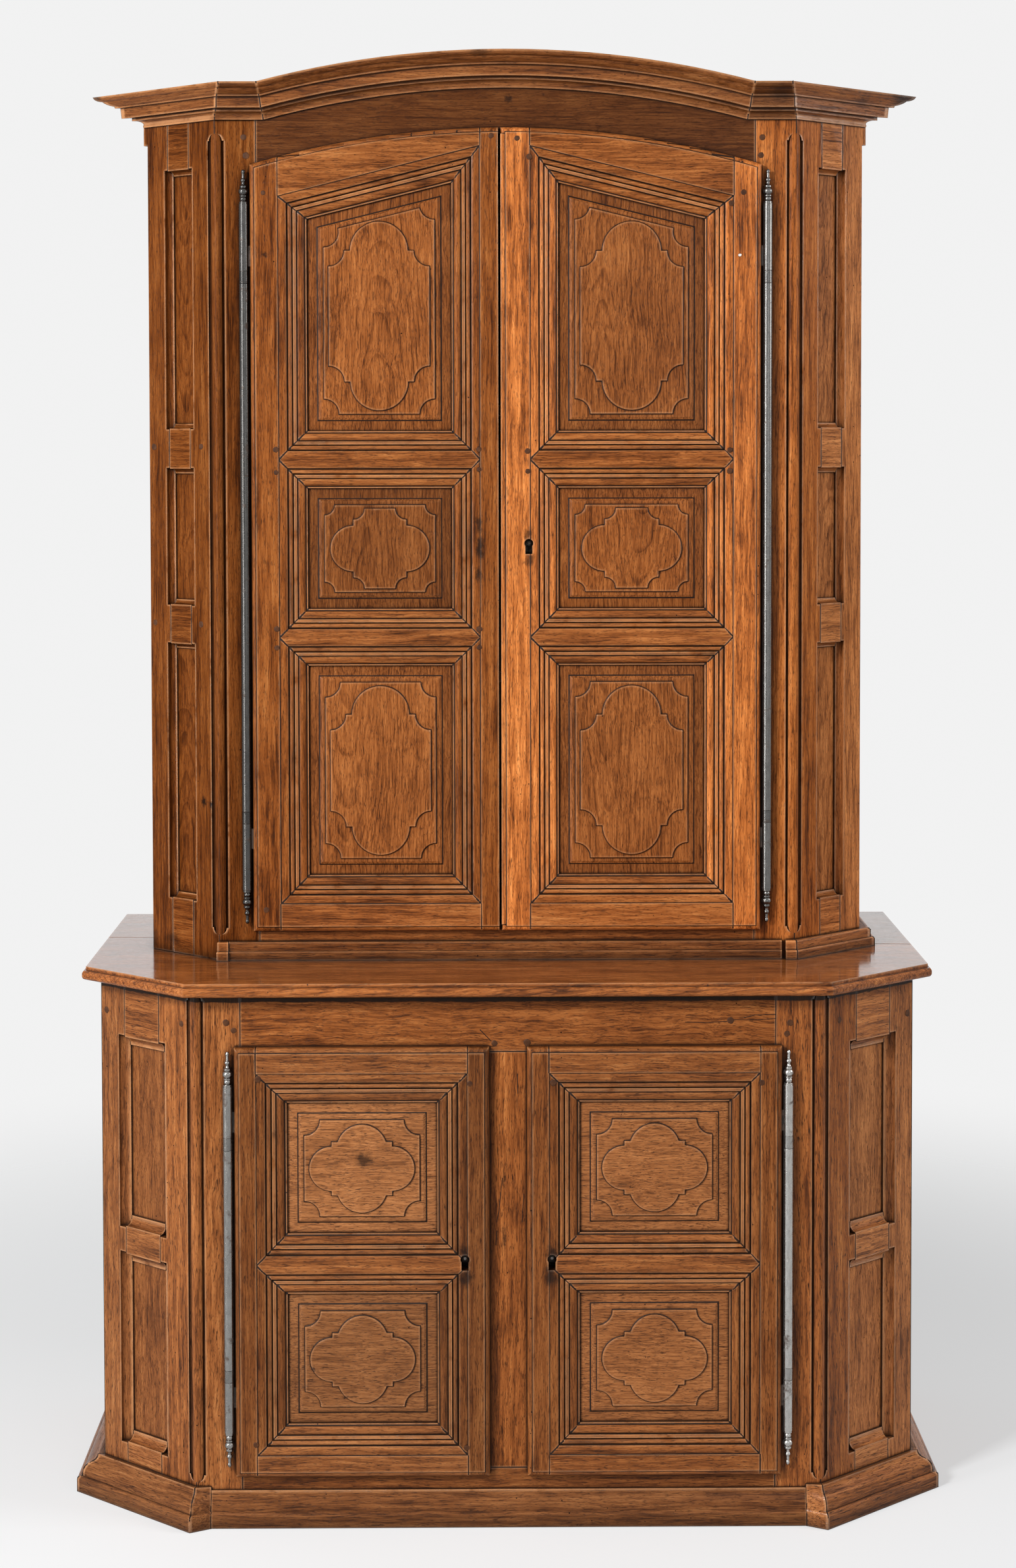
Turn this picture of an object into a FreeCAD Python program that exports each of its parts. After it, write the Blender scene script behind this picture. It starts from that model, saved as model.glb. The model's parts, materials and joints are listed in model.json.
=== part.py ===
import FreeCAD, Part
import math
import os

# Two-part walnut cupboard: a low case with two doors carries a taller case with two arched doors.
# Millimetres, +Z up, the front looks towards -Y, the origin is under the middle of the footprint.

# Overall plan and heights
board_depth = 622.0
board_thickness = 21.0
lower_height = 831.0
upper_height = 1388.0
upper_setback = 162.0
case_back_inset = 5.0
cant_angle = 40.0
cornice_rise = 50.0
upper_top_gap = 8.0

# Lower case plan and frame
lower_post_face = 71.5
lower_front_stile = 78.0
lower_cant_opening = 78.0
lower_back_stile = 54.0
lower_bottom_rail_z = 30.0

# Upper case plan and frame
upper_post_face = 65.0
upper_front_stile = 59.0
upper_cant_opening = 48.0
upper_back_stile = 56.0
upper_side_inset = 7.0

# Case timber
frame_thickness = 32.0
muntin_thickness = 46.0
cant_thickness = 28.0
board_plank = 18.0
back_thickness = 14.0
back_planks = 5
tenon_thickness = 9.0
tenon_length = 18.0
tenon_half_height = 12.0
case_tenon_length = 30.0
case_tenon_share = 0.6

# Corner bead with its quirks, and the stops of the relief on the rear edge of each upper canted corner
bead_radius = 10.5
quirk_width = 0.8
quirk_depth = 3.2
bead_stop_low = 40.0
bead_stop_top = 66.0
relief_stop_top = 74.0

# Canted corner panels: heights of the rails from below, and the sunk moulding round each panel
lower_cant_rails = (110.0, 73.0, 103.0)
upper_cant_rails = (98.0, 79.0, 80.0, 126.0)
upper_cant_middle_panel = 203.0
lower_cant_moulding = 17.0
upper_cant_moulding = 9.0
cant_moulding_depth = 12.0
cant_panel_thickness = 10.0
cant_moulding_shares = (
    ((0.0, 1.0),),
    ((0.12, 1.0),),
    ((0.58, 0.82), (0.85, 0.3)),
    ((0.85, 0.0),),
)

# Top board nosing and the skew joint between its two planks
board_overhang = 30.0
board_side_overhang = 21.0
nosing_step = 6.0
nosing_rise = 6.0
nosing_round = 6.0
plank_joint_left = 367.0
plank_joint_right = 279.0
plank_gap = 3.0

# Plinth
plinth_height = 57.0
plinth_corner_height = 62.0
plinth_out = 12.0
plinth_corner_out = 28.0
plinth_return = 23.0
plinth_cant_share = 0.95
plinth_side_share = 1.64
plinth_shares = (
    ((1.0, 0.0),),
    ((1.0, 0.30),),
    ((0.97, 0.37), (0.80, 0.42)),
    ((0.80, 0.46),),
    ((0.72, 0.66), (0.42, 0.82)),
    ((0.30, 0.90), (0.25, 1.0)),
    ((0.0, 1.0),),
)

# Base moulding of the upper case
base_height = 30.0
base_out = 8.0
base_gap = 6.0
base_return = 15.0
base_return_share = 1.6
base_cant_share = 1.5
base_side_share = 3.27
base_shares = (
    ((1.0, 0.0),),
    ((1.0, 0.40),),
    ((0.92, 0.48), (0.72, 0.50)),
    ((0.72, 0.88),),
    ((0.62, 0.98), (0.40, 1.0)),
    ((0.0, 1.0),),
)

# Cornice
cornice_height = 53.0
cornice_out = 55.0
cornice_flat = 71.0
cornice_cant_share = 0.625
cornice_side_share = 1.69
cornice_shares = (
    ((0.07, 0.0),),
    ((0.08, 0.05),),
    ((0.10, 0.16), (0.20, 0.21)),
    ((0.28, 0.22),),
    ((0.28, 0.31),),
    ((0.47, 0.31),),
    ((0.49, 0.62),),
    ((0.59, 0.63),),
    ((0.60, 0.68),),
    ((0.70, 0.73), (0.82, 0.84)),
    ((0.92, 0.88), (0.98, 0.95)),
    ((1.0, 1.0),),
    ((0.0, 1.0),),
)

# Doors: slab, lip, rebate and the clearances round them
door_thickness = 28.0
door_proud = 16.0
door_gap = 0.5
door_overlap = 9.0
door_clearance = 1.5
lip_width = 8.0
lip_step = 1.5
lip_round = 6.5
meeting_gap = 3.8
meeting_x = -10.4

# Upper doors
upper_door_half = 404.0
upper_door_foot = 48.0
arch_drop = 66.0
arch_rise = 58.0
upper_stile = 89.0
upper_left_meeting_stile = 73.5
upper_right_meeting_stile = 91.0
upper_moulding = 45.0
upper_bottom_rail = 89.0
upper_head_rail = 85.0
upper_middle_panel = 192.0
arch_panel_rise = 57.0

# Lower doors
lower_door_half = 421.5
lower_door_inner_half = 29.0
lower_door_bottom = 81.0
lower_door_head = 82.0
lower_stile = 80.5
lower_moulding = 47.0
lower_bottom_door_rail = 81.0
lower_head_rail = 86.0

# Door moulding: distance out from the panel, and depth, as shares of its width and depth
moulding_depth = 11.0
moulding_shares = (
    ((0.0, 1.0),),
    ((0.07, 1.0),),
    ((0.09, 0.80),),
    ((0.20, 0.52), (0.33, 0.60)),
    ((0.34, 0.68),),
    ((0.36, 0.68),),
    ((0.36, 0.42),),
    ((0.47, 0.36),),
    ((0.47, 0.72),),
    ((0.505, 0.72),),
    ((0.505, 0.42),),
    ((0.59, 0.16), (0.66, 0.34)),
    ((0.67, 0.44),),
    ((0.69, 0.44),),
    ((0.70, 0.20),),
    ((0.82, 0.045), (0.97, 0.09)),
    ((1.0, 0.10),),
    ((1.0, 0.0),),
)

# Door panels: tongue, margin, field, scooped rectangle and cartouche in rising steps
panel_depth = 15.0
tongue_thickness = 7.0
tongue_width = 8.0
tongue_room = 1.0
panel_slope = 1.4
relief_step = 3.0
field_slope = 4.5
panel_margin = 17.0
field_border = 10.0
scoop_radius = 24.0
small_scoop_radius = 16.0
cartouche_inset = 5.5
# Shares of the scooped rectangle's width for the upright cartouche
cartouche_half_share = 0.455
cartouche_lobe_share = 0.26
cartouche_scoop_share = 0.142
# Shares of the width, then of the height, for the level cartouche and the quatrefoil
broad_half_share = 0.239
broad_lobe_share = 0.2645
broad_scoop_share = 0.127
foil_half_share = 0.262
foil_side_share = 0.194
foil_height_share = 0.2776
foil_rise_share = 0.1806
foil_top_share = 0.26

# Hinges: long turned rods on iron leaves
rod_radius = 7.5
rod_offset = 10.0
rod_stand = 1.5
pin_radius = 4.0
pin_clearance = 0.05
knuckle_gap = 0.6
ring_height = 19.0
ring_line = 0.8
leaf_thickness = 2.5
leaf_height = 32.0
leaf_reach = 22.0
leaf_inset = 8.0
upper_rod_foot_room = 66.0
upper_rod_head_room = 62.0
lower_rod_foot_room = 69.0
lower_rod_head_room = 60.0
upper_knuckle_length = 125.0
lower_knuckle_length = 98.0
finial_height = 54.0
finial_shares = (
    ((0.92, 0.0),),
    ((0.92, 0.06),),
    ((0.60, 0.08),),
    ((0.78, 0.14), (0.60, 0.20)),
    ((0.82, 0.21),),
    ((0.82, 0.24),),
    ((0.62, 0.26),),
    ((1.02, 0.36), (0.62, 0.46)),
    ((0.74, 0.47),),
    ((0.74, 0.52),),
    ((0.46, 0.56), (0.38, 0.63)),
    ((0.58, 0.69), (0.34, 0.75)),
    ((0.30, 0.88),),
    ((0.42, 0.93), (0.26, 0.99)),
    ((0.20, 1.0),),
    ((0.0, 1.0),),
)

# Locks and slide bolts
lock_length = 62.0
lock_height = 74.0
lock_thickness = 16.0
lock_wall = 3.0
bolt_length = 46.0
bolt_height = 14.0
bolt_thickness = 7.0
bolt_throw = 14.0
bolt_clearance = 0.4
strike_room = 1.5
lock_edge_room = 2.0
keeper_length = 16.0
keeper_wall = 3.0
key_radius = 7.0
key_slot_width = 11.0
key_slot_drop = 17.0
lock_pin_radius = 2.2
lock_pin_share = 0.75
lower_key_inset = 38.0
upper_key_inset = 44.0
key_rise = 8.0
slide_bolt_width = 14.0
slide_bolt_thickness = 6.0
slide_bolt_length = 170.0
slide_bolt_throw = 14.0
slide_bolt_inset = 36.0
slide_bolt_back = 3.0
slide_knob_radius = 6.0
slide_knob_length = 14.0
staple_wall = 3.0
staple_height = 16.0
staple_inset = 26.0

# Shelves, floors and battens
floor_drop = 2.0
lower_shelf_share = 0.5545
upper_shelf_shares = (0.2986, 0.633)
upper_top_drop = 48.0
shelf_front_room = 62.0
shelf_side_room = 1.0
batten_height = 26.0
batten_width = 20.0
batten_front_room = 30.0

overrun = 6.0

# Derived places
lower_face_y = board_overhang + nosing_step - board_depth / 2
upper_face_y = lower_face_y + upper_setback
back_y = board_depth / 2
case_back_y = back_y - case_back_inset
cos_cant = math.cos(math.radians(cant_angle))
sin_cant = math.sin(math.radians(cant_angle))
sin_half_cant = math.sin(math.radians(cant_angle / 2))
cos_half_cant = math.cos(math.radians(cant_angle / 2))
side_thickness = cant_thickness * sin_cant
upper_base_z = lower_height + board_thickness
cornice_top_z = upper_base_z + upper_height
case_top_z = cornice_top_z - upper_top_gap
lower_post_inner_half = lower_door_half - door_overlap
lower_corner_half = lower_post_inner_half + lower_post_face
lower_side_half = lower_corner_half + (lower_front_stile + lower_cant_opening + lower_back_stile) * cos_cant
upper_post_inner_half = upper_door_half - door_overlap
upper_corner_half = upper_post_inner_half + upper_post_face
upper_side_half = upper_corner_half + (upper_front_stile + upper_cant_opening + upper_back_stile) * cos_cant
upper_side_plane = upper_side_half - upper_side_inset
lower_cant_panel = (lower_height - sum(lower_cant_rails)) / 2
upper_cant_panel = (case_top_z - upper_base_z - sum(upper_cant_rails) - upper_cant_middle_panel) / 2
plinth_return_half = lower_corner_half - plinth_return
base_half = upper_corner_half - base_return
cornice_flat_half = upper_corner_half - cornice_flat
lower_door_top = lower_height - lower_door_head
lower_frame_height = lower_bottom_door_rail + lower_head_rail + 2 * lower_moulding
lower_panel = (lower_door_top - lower_door_bottom - lower_frame_height) / 2
lower_panel_heights = (lower_panel, lower_panel)
lower_key_z = lower_door_bottom + lower_bottom_door_rail + lower_panel + lower_moulding + key_rise
upper_door_bottom = upper_base_z + upper_door_foot
arch_apex_z = cornice_top_z - arch_drop
arch_spring_z = arch_apex_z - arch_rise
upper_frame_height = upper_bottom_rail + upper_head_rail + 4 * upper_moulding
upper_panel = (arch_spring_z - upper_door_bottom - upper_frame_height - upper_middle_panel) / 2
upper_panel_heights = (upper_panel, upper_middle_panel, upper_panel)
upper_middle_z = upper_door_bottom + upper_bottom_rail + upper_panel + 2 * upper_moulding
upper_key_z = upper_middle_z + upper_middle_panel / 2 + key_rise
lower_rod_low = lower_door_bottom + lower_rod_foot_room
lower_rod_top = lower_door_top - lower_rod_head_room
upper_rod_low = upper_door_bottom + upper_rod_foot_room
upper_rod_top = arch_spring_z - upper_rod_head_room
lower_floor_top = lower_door_bottom + door_overlap - floor_drop
lower_shelf_z = lower_floor_top + (lower_height - lower_floor_top) * lower_shelf_share
upper_floor_top = upper_door_bottom + door_overlap - floor_drop
upper_top_z = cornice_top_z - upper_top_drop
upper_room = upper_top_z - upper_floor_top
upper_shelf_zs = tuple(upper_floor_top + upper_room * share for share in upper_shelf_shares)
arch_radius = (upper_door_half ** 2 + arch_rise ** 2) / (2 * arch_rise)
arch_centre_z = arch_apex_z - arch_radius
crown_radius = (cornice_flat_half ** 2 + cornice_rise ** 2) / (2 * cornice_rise)
crown_apex_z = cornice_top_z + cornice_rise
crown_centre_z = crown_apex_z - crown_radius
door_back = door_thickness - door_proud - door_gap
opening_inset = door_overlap + door_clearance

V = FreeCAD.Vector


def box(x0, x1, y0, y1, z0, z1):
    low = V(min(x0, x1), min(y0, y1), min(z0, z1))
    return Part.makeBox(abs(x1 - x0), abs(y1 - y0), abs(z1 - z0), low)


def cylinder_y(x, z, radius, y0, y1):
    return Part.makeCylinder(radius, y1 - y0, V(x, y0, z), V(0, 1, 0))


def cylinder_z(x, y, radius, z0, z1):
    return Part.makeCylinder(radius, z1 - z0, V(x, y, z0), V(0, 0, 1))


def face_of(start, steps, place):
    """A closed face: a step of one point is a line, a step of two is an arc through the first."""
    edges = []
    here = start
    for step in steps:
        end = step[-1]
        if len(step) == 2:
            edges.append(Part.Arc(place(here), place(step[0]), place(end)).toShape())
        else:
            edges.append(Part.makeLine(place(here), place(end)))
        here = end
    return Part.Face(Part.Wire(edges))


def closed_steps(points):
    return [(point,) for point in points[1:]] + [(points[0],)]


def prism_xz(points, y0, y1):
    face = face_of(points[0], closed_steps(points), lambda p: V(p[0], y0, p[1]))
    return face.extrude(V(0, y1 - y0, 0))


def prism_xy(points, z0, z1):
    face = face_of(points[0], closed_steps(points), lambda p: V(p[0], p[1], z0))
    return face.extrude(V(0, 0, z1 - z0))


def scaled_steps(shares, width, height):
    return [tuple((point[0] * width, point[1] * height) for point in step) for step in shares]


def mirrored(shape):
    return shape.mirror(V(0, 0, 0), V(1, 0, 0))


def both(shapes):
    return list(shapes) + [mirrored(shape) for shape in shapes]


def save(node, shapes):
    for shape in shapes:
        if not shape.isValid() or len(shape.Solids) != 1:
            print("check", node, shape.isValid(), len(shape.Solids))
    Part.makeCompound([shape.Solids[0] for shape in shapes]).exportStep("parts/" + node + ".step")


def meet(p, d, q, e):
    """Where the line through p along d crosses the line through q along e."""
    cross = d[0] * e[1] - d[1] * e[0]
    t = ((q[0] - p[0]) * e[1] - (q[1] - p[1]) * e[0]) / cross
    return (p[0] + d[0] * t, p[1] + d[1] * t)


def offset_polygon(points, distances):
    """Move each edge of a counter-clockwise polygon outwards by its distance."""
    lines = []
    for i, p in enumerate(points):
        q = points[(i + 1) % len(points)]
        length = math.hypot(q[0] - p[0], q[1] - p[1])
        d = ((q[0] - p[0]) / length, (q[1] - p[1]) / length)
        lines.append(((p[0] + d[1] * distances[i], p[1] - d[0] * distances[i]), d))
    return [meet(*lines[i - 1], *lines[i]) for i in range(len(points))]


def grown(points, distance):
    return offset_polygon(points, [distance] * len(points))


def moulding_run(path, profile, outs, height, z0):
    """Mitred lengths of one moulding on the outside of a path in plan; each length has its own projection."""
    count = len(path) - 1
    lines = []
    for i in range(count):
        p, q = path[i], path[i + 1]
        length = math.hypot(q[0] - p[0], q[1] - p[1])
        d = ((q[0] - p[0]) / length, (q[1] - p[1]) / length)
        lines.append((p, d, (d[1], -d[0]), length))
    reach = 2 * max(outs)

    def mitre(i):
        """The far end of the mitre at the path's point i."""
        share = reach / max(outs)
        if i in (0, count):
            p = path[i]
            n = lines[min(i, count - 1)][2]
            return (p[0] + n[0] * reach, p[1] + n[1] * reach)
        first, second = lines[i - 1], lines[i]
        a = tuple(first[0][k] + first[2][k] * outs[i - 1] * share for k in (0, 1))
        b = tuple(second[0][k] + second[2][k] * outs[i] * share for k in (0, 1))
        return meet(a, first[1], b, second[1])

    runs = []
    for i in range(count):
        p, d, n, length = lines[i]
        steps = scaled_steps(profile, outs[i], height)
        start = (0.0, 0.0)
        begin = (p[0] - d[0] * reach, p[1] - d[1] * reach)
        face = face_of(start, steps + [(start,)],
                       lambda s: V(begin[0] + n[0] * s[0], begin[1] + n[1] * s[0], z0 + s[1]))
        solid = face.extrude(V(d[0], d[1], 0) * (length + 2 * reach))
        zone = prism_xy([path[i], path[i + 1], mitre(i + 1), mitre(i)], z0 - overrun, z0 + height + overrun)
        runs.append(solid.common(zone))
    return runs


def section_wire(profile, root, tip, height, z0):
    """Outline of a moulding's section that stands on the line from root to tip in plan."""
    start = (0.0, 0.0)
    across = (tip[0] - root[0], tip[1] - root[1])
    place = lambda s: V(root[0] + across[0] * s[0], root[1] + across[1] * s[0], z0 + height * s[1])
    return face_of(start, list(profile) + [(start,)], place).OuterWire


# Canted corner frames, worked along the cant: s runs from the front corner, t goes into the case
def cant_place(shape, corner_half, face_y):
    placed = shape.copy()
    placed.rotate(V(0, 0, 0), V(0, 0, 1), cant_angle)
    placed.translate(V(corner_half, face_y, 0))
    return placed


def cant_point(corner_half, face_y, s, t):
    return (corner_half + s * cos_cant - t * sin_cant, face_y + s * sin_cant + t * cos_cant)


def edge_cutter(p, q, steps, width):
    """Cutter that leaves a moulding along the side p to q of an opening; out is to the right of p to q."""
    length = math.hypot(q[0] - p[0], q[1] - p[1])
    d = ((q[0] - p[0]) / length, (q[1] - p[1]) / length)
    n = (d[1], -d[0])
    reach = 3 * width
    begin = (p[0] - d[0] * reach, p[1] - d[1] * reach)
    start = (-overrun, -overrun)
    deep = steps[0][-1]
    path = [((-overrun, deep[1]),)] + list(steps) + [((steps[-1][-1][0], -overrun),), (start,)]
    face = face_of(start, path, lambda s: V(begin[0] + n[0] * s[0], s[1], begin[1] + n[1] * s[0]))
    return face.extrude(V(d[0], 0, d[1]) * (length + 2 * reach))


def cant_frame(corner_half, side_half, face_y, front, back, rails, heights, z0, z1, moulding):
    """Back stile, rails and panels of one canted corner; the front stile belongs to the post."""
    width = (side_half - corner_half) / cos_cant
    s0, s1 = front, width - back
    steps = scaled_steps(cant_moulding_shares, moulding, cant_moulding_depth)
    stile = box(s1, width, 0, cant_thickness, z0, z1)
    z = z0
    members, panels, cutters = [], [], []
    for rail, height in zip(rails, heights):
        members.append((z, z + rail))
        z += rail
        opening = [(s0, z), (s1, z), (s1, z + height), (s0, z + height)]
        corners = zip(opening, opening[1:] + opening[:1])
        cutters.append([edge_cutter(p, q, steps, moulding) for p, q in corners])
        panels.append(opening)
        z += height
    members.append((z, z1))
    rails_made, panels_made, post_cuts = [], [], []
    sunk = cant_moulding_depth + overrun / 2
    for i, (low, high) in enumerate(members):
        below = panels[i - 1] if i > 0 else None
        above = panels[i] if i < len(panels) else None
        outline = [(s0, low), (s1, low), (s1, high), (s0, high)]
        rail = prism_xz(outline, 0, cant_thickness)
        if below:
            rail = rail.cut(cutters[i - 1][2])
        if above:
            rail = rail.cut(cutters[i][0])
        rails_made.append(rail)
    for opening, sides in zip(panels, cutters):
        zone = prism_xz(grown(opening, moulding), -overrun, cant_thickness + overrun)
        stile = stile.cut(sides[1].common(zone))
        post_cuts.append(sides[3].common(zone))
        wide = offset_polygon(opening, [tongue_width, tongue_width, tongue_width, tongue_width])
        room = prism_xz(grown(wide, tongue_room), sunk, sunk + cant_panel_thickness)
        stile = stile.cut(room)
        post_cuts.append(room)
        rails_made = [rail.cut(room) for rail in rails_made]
        panels_made.append(prism_xz(wide, sunk, sunk + cant_panel_thickness))
    place = lambda shape: cant_place(shape, corner_half, face_y)
    return ([place(stile)] + [place(rail) for rail in rails_made], [place(panel) for panel in panels_made],
            [place(cut) for cut in post_cuts])


def corner_post(corner_half, inner_half, face_y, front, z0, z1, low_stop, top_stop):
    """Post that turns the corner: front stile, bead in its quirks, and the front stile of the cant."""
    inner_corner = meet((0.0, face_y + frame_thickness), (1.0, 0.0),
                        cant_point(corner_half, face_y, 0, cant_thickness), (cos_cant, sin_cant))
    post = prism_xy([(inner_half, face_y), (corner_half, face_y), cant_point(corner_half, face_y, front, 0),
                     cant_point(corner_half, face_y, front, cant_thickness), inner_corner,
                     (inner_half, face_y + frame_thickness)], z0, z1)
    back_off = bead_radius * math.tan(math.radians(cant_angle) / 2)
    centre = (corner_half - back_off, face_y + bead_radius)
    front_quirk = centre[0] - bead_radius - quirk_width
    cant_quirk = back_off + bead_radius + quirk_width
    half = bead_radius + quirk_width
    tip = meet((0.0, face_y - overrun), (1.0, 0.0), cant_point(corner_half, face_y, 0, -overrun),
               (cos_cant, sin_cant))
    cant_edge = [cant_point(corner_half, face_y, cant_quirk, t) for t in (-overrun, quirk_depth)]
    outline = [(front_quirk, face_y - overrun), tip] + cant_edge
    outline += [centre, (front_quirk, face_y + quirk_depth)]
    zone = prism_xy(outline, z0 + low_stop, z1 - top_stop)
    bead = cylinder_z(centre[0], centre[1], bead_radius, z0, z1)
    look = V(sin_half_cant, -cos_half_cant, 0)
    start = V(centre[0], centre[1], 0) - look * half
    ends = [Part.makeCylinder(half, 4 * half, start + V(0, 0, z), look)
            for z in (z0 + low_stop + half, z1 - top_stop - half)]
    middle = box(front_quirk - 2 * half, front_quirk + 4 * half, face_y - 2 * half, face_y + 4 * half,
                 z0 + low_stop + half, z1 - top_stop - half)
    return post.cut(zone.cut(bead).common(ends[0].fuse([middle, ends[1]])))


def plank_set(half, y0, y1, z0, z1, count):
    width = 2 * half / count
    return [box(-half + i * width, -half + (i + 1) * width, y0, y1, z0, z1) for i in range(count)]


def deck(corner_half, side_half, face_y, z0, z1, front_room, side_room):
    """A shelf or floor board that follows the canted corners inside a case."""
    front_y = face_y + front_room
    inner = cant_thickness + side_room
    start = meet((0.0, front_y), (1.0, 0.0), cant_point(corner_half, face_y, 0, inner), (cos_cant, sin_cant))
    side = side_half - side_thickness - side_room
    turn = meet((side, 0.0), (0.0, 1.0), cant_point(corner_half, face_y, 0, inner), (cos_cant, sin_cant))
    half = [start, turn, (side, case_back_y - back_thickness)]
    points = [(-x, y) for x, y in reversed(half)]
    return prism_xy(half + points, z0, z1)


def side_board(side_half, corner_half, face_y, z0, z1, stile):
    y0 = face_y + (side_half - corner_half) * sin_cant / cos_cant
    return box(side_half - side_thickness, side_half, y0, case_back_y, z0, z1).cut(stile)


def battens(side_half, corner_half, face_y, tops):
    y0 = face_y + (side_half - corner_half) * sin_cant / cos_cant + batten_front_room
    side = side_half - side_thickness
    y1 = case_back_y - back_thickness
    return [box(side - batten_width, side, y0, y1, top - batten_height, top) for top in tops]


def rail_with_tenons(x0, x1, face_y, z0, z1, tenon_z0, tenon_z1):
    """A front rail, and the two tenons that its posts receive."""
    y0 = face_y + (frame_thickness - tenon_thickness) / 2
    tenons = [box(x, x + side * case_tenon_length, y0, y0 + tenon_thickness, tenon_z0, tenon_z1)
              for x, side in ((x0, -1), (x1, 1))]
    return box(x0, x1, face_y, face_y + frame_thickness, z0, z1), tenons


def centred(z0, z1, share):
    middle = (z0 + z1) / 2
    half = (z1 - z0) / 2 * share
    return middle - half, middle + half


# Doors, worked with the flat of the frame at y = 0 and the depth of the slab along +y
class Door:
    """One door: its outline, members, panels and the tools that shape them."""

    def __init__(self, x0, x1, z0, top, stiles, moulding, rail, heights, lips, rebates, panel_rise,
                 depth_y):
        self.x0, self.x1, self.z0, self.top = x0, x1, z0, top
        self.moulding = moulding
        self.lips = lips
        self.rebates = rebates
        self.depth_y = depth_y
        self.steps = scaled_steps(moulding_shares, moulding, moulding_depth)
        self.openings = []
        left, right = x0 + stiles[0], x1 - stiles[1]
        z = z0 + rail
        for i, height in enumerate(heights):
            last = i == len(heights) - 1
            rise = panel_rise if last else (0.0, 0.0)
            head = z + height
            self.openings.append([(left, z), (right, z), (right, head + rise[1]), (left, head + rise[0])])
            z = head + 2 * moulding

    def outline(self, inset, sides, y0, y1):
        """The door's outline drawn in by inset at its head and foot and at the sides that are set."""
        x0 = self.x0 + inset * sides[0]
        x1 = self.x1 - inset * sides[1]
        z0 = self.z0 + inset
        if self.top is not None:
            return prism_xz([(x0, z0), (x1, z0), (x1, self.top - inset), (x0, self.top - inset)], y0, y1)
        on_arch = lambda x: (x, self.head_z(x, inset))
        start = (x0, z0)
        steps = [((x1, z0),), (on_arch(x1),), (on_arch((x0 + x1) / 2), on_arch(x0)), (start,)]
        return face_of(start, steps, lambda p: V(p[0], y0, p[1])).extrude(V(0, y1 - y0, 0))

    def head_z(self, x, inset):
        """Height of the door's head at x, drawn in by inset."""
        if self.top is not None:
            return self.top - inset
        return arch_centre_z + math.sqrt((arch_radius - inset) ** 2 - x ** 2)

    def envelope(self):
        """The whole slab: stepped thumbnail lip in front, rebate behind."""
        body = self.outline(0.0, self.lips, lip_step, door_proud)
        front = [edge for edge in body.Edges if self.lipped(edge)]
        body = body.makeFillet(lip_round, front)
        face = self.outline(lip_width, self.lips, 0.0, door_proud)
        rear = self.outline(opening_inset, self.rebates, lip_step, door_thickness)
        return body.fuse([face, rear])

    def lipped(self, edge):
        if any(abs(vertex.Y - lip_step) > Part.Precision.confusion() for vertex in edge.Vertexes):
            return False
        xs = [vertex.X for vertex in edge.Vertexes]
        if max(xs) - min(xs) > Part.Precision.confusion():
            return True
        return bool(self.lips[0] if abs(xs[0] - self.x0) < lip_width else self.lips[1])

    def cutter(self, index, side):
        opening = self.openings[index]
        return edge_cutter(opening[side], opening[(side + 1) % len(opening)], self.steps, self.moulding)

    def members(self):
        """The two stiles and the rails, with mitred mouldings, panel grooves and tenons."""
        outers = [grown(opening, self.moulding) for opening in self.openings]
        high = arch_apex_z + overrun if self.top is None else self.top
        count = len(self.openings)
        left = [(self.x0, self.z0), (outers[0][0][0], self.z0)]
        right = [(self.x1, self.z0), (outers[0][1][0], self.z0)]
        for outer, opening in zip(outers, self.openings):
            if outer is not outers[0]:
                left.pop()
                right.pop()
            left += [outer[0], opening[0], opening[3], outer[3]]
            right += [outer[1], opening[1], opening[2], outer[2]]
        left += [(outers[0][0][0], high), (self.x0, high)]
        right += [(outers[0][1][0], high), (self.x1, high)]
        first, last = outers[0], outers[-1]
        rails = [([(first[0][0], self.z0), (first[1][0], self.z0), first[1], self.openings[0][1],
                   self.openings[0][0], first[0]], [(0, 0)])]
        for i in range(count - 1):
            low, up = self.openings[i], self.openings[i + 1]
            rails.append(([outers[i][3], low[3], low[2], outers[i][2], up[1], up[0]], [(i, 2), (i + 1, 0)]))
        top = self.openings[-1]
        head_rail = [last[3], top[3], top[2], last[2], (last[2][0], high), (last[3][0], high)]
        rails.append((head_rail, [(count - 1, 2)]))
        sets = [(left, [(i, 3) for i in range(count)]), (right, [(i, 1) for i in range(count)])] + rails
        envelope = self.envelope()
        tongue_back = panel_depth + tongue_thickness
        grooves = [prism_xz(grown(opening, tongue_width + tongue_room), panel_depth, tongue_back)
                   for opening in self.openings]
        made = []
        for points, sides in sets:
            member = prism_xz(points, 0.0, door_thickness).common(envelope)
            made.append(member.cut([self.cutter(i, side) for i, side in sides] + grooves))
        stiles, rails = made[:2], made[2:]
        tenon_height = 2 * tenon_half_height
        foot = self.z0 + opening_inset + tongue_room
        for j, (x, inner, low, up) in enumerate(((first[0][0] - tenon_length, top[0][0], 0, 3),
                                                 (first[1][0] + tenon_length, top[1][0], 1, 2))):
            spans = [(max(foot, first[low][1] - tenon_height), first[low][1])]
            middles = [outer[up][1] for outer in outers[:-1]]
            spans += [(middle - tenon_half_height, middle + tenon_half_height) for middle in middles]
            head = self.head_z(x, opening_inset) - tongue_room
            spans.append((last[up][1], min(head, last[up][1] + tenon_height)))
            for i, (z0, z1) in enumerate(spans):
                rails[i] = rails[i].fuse(box(x, inner, panel_depth, tongue_back, z0, z1))
                stiles[j] = stiles[j].cut(rails[i])
        return stiles, [rail.removeSplitter() for rail in rails]

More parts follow.
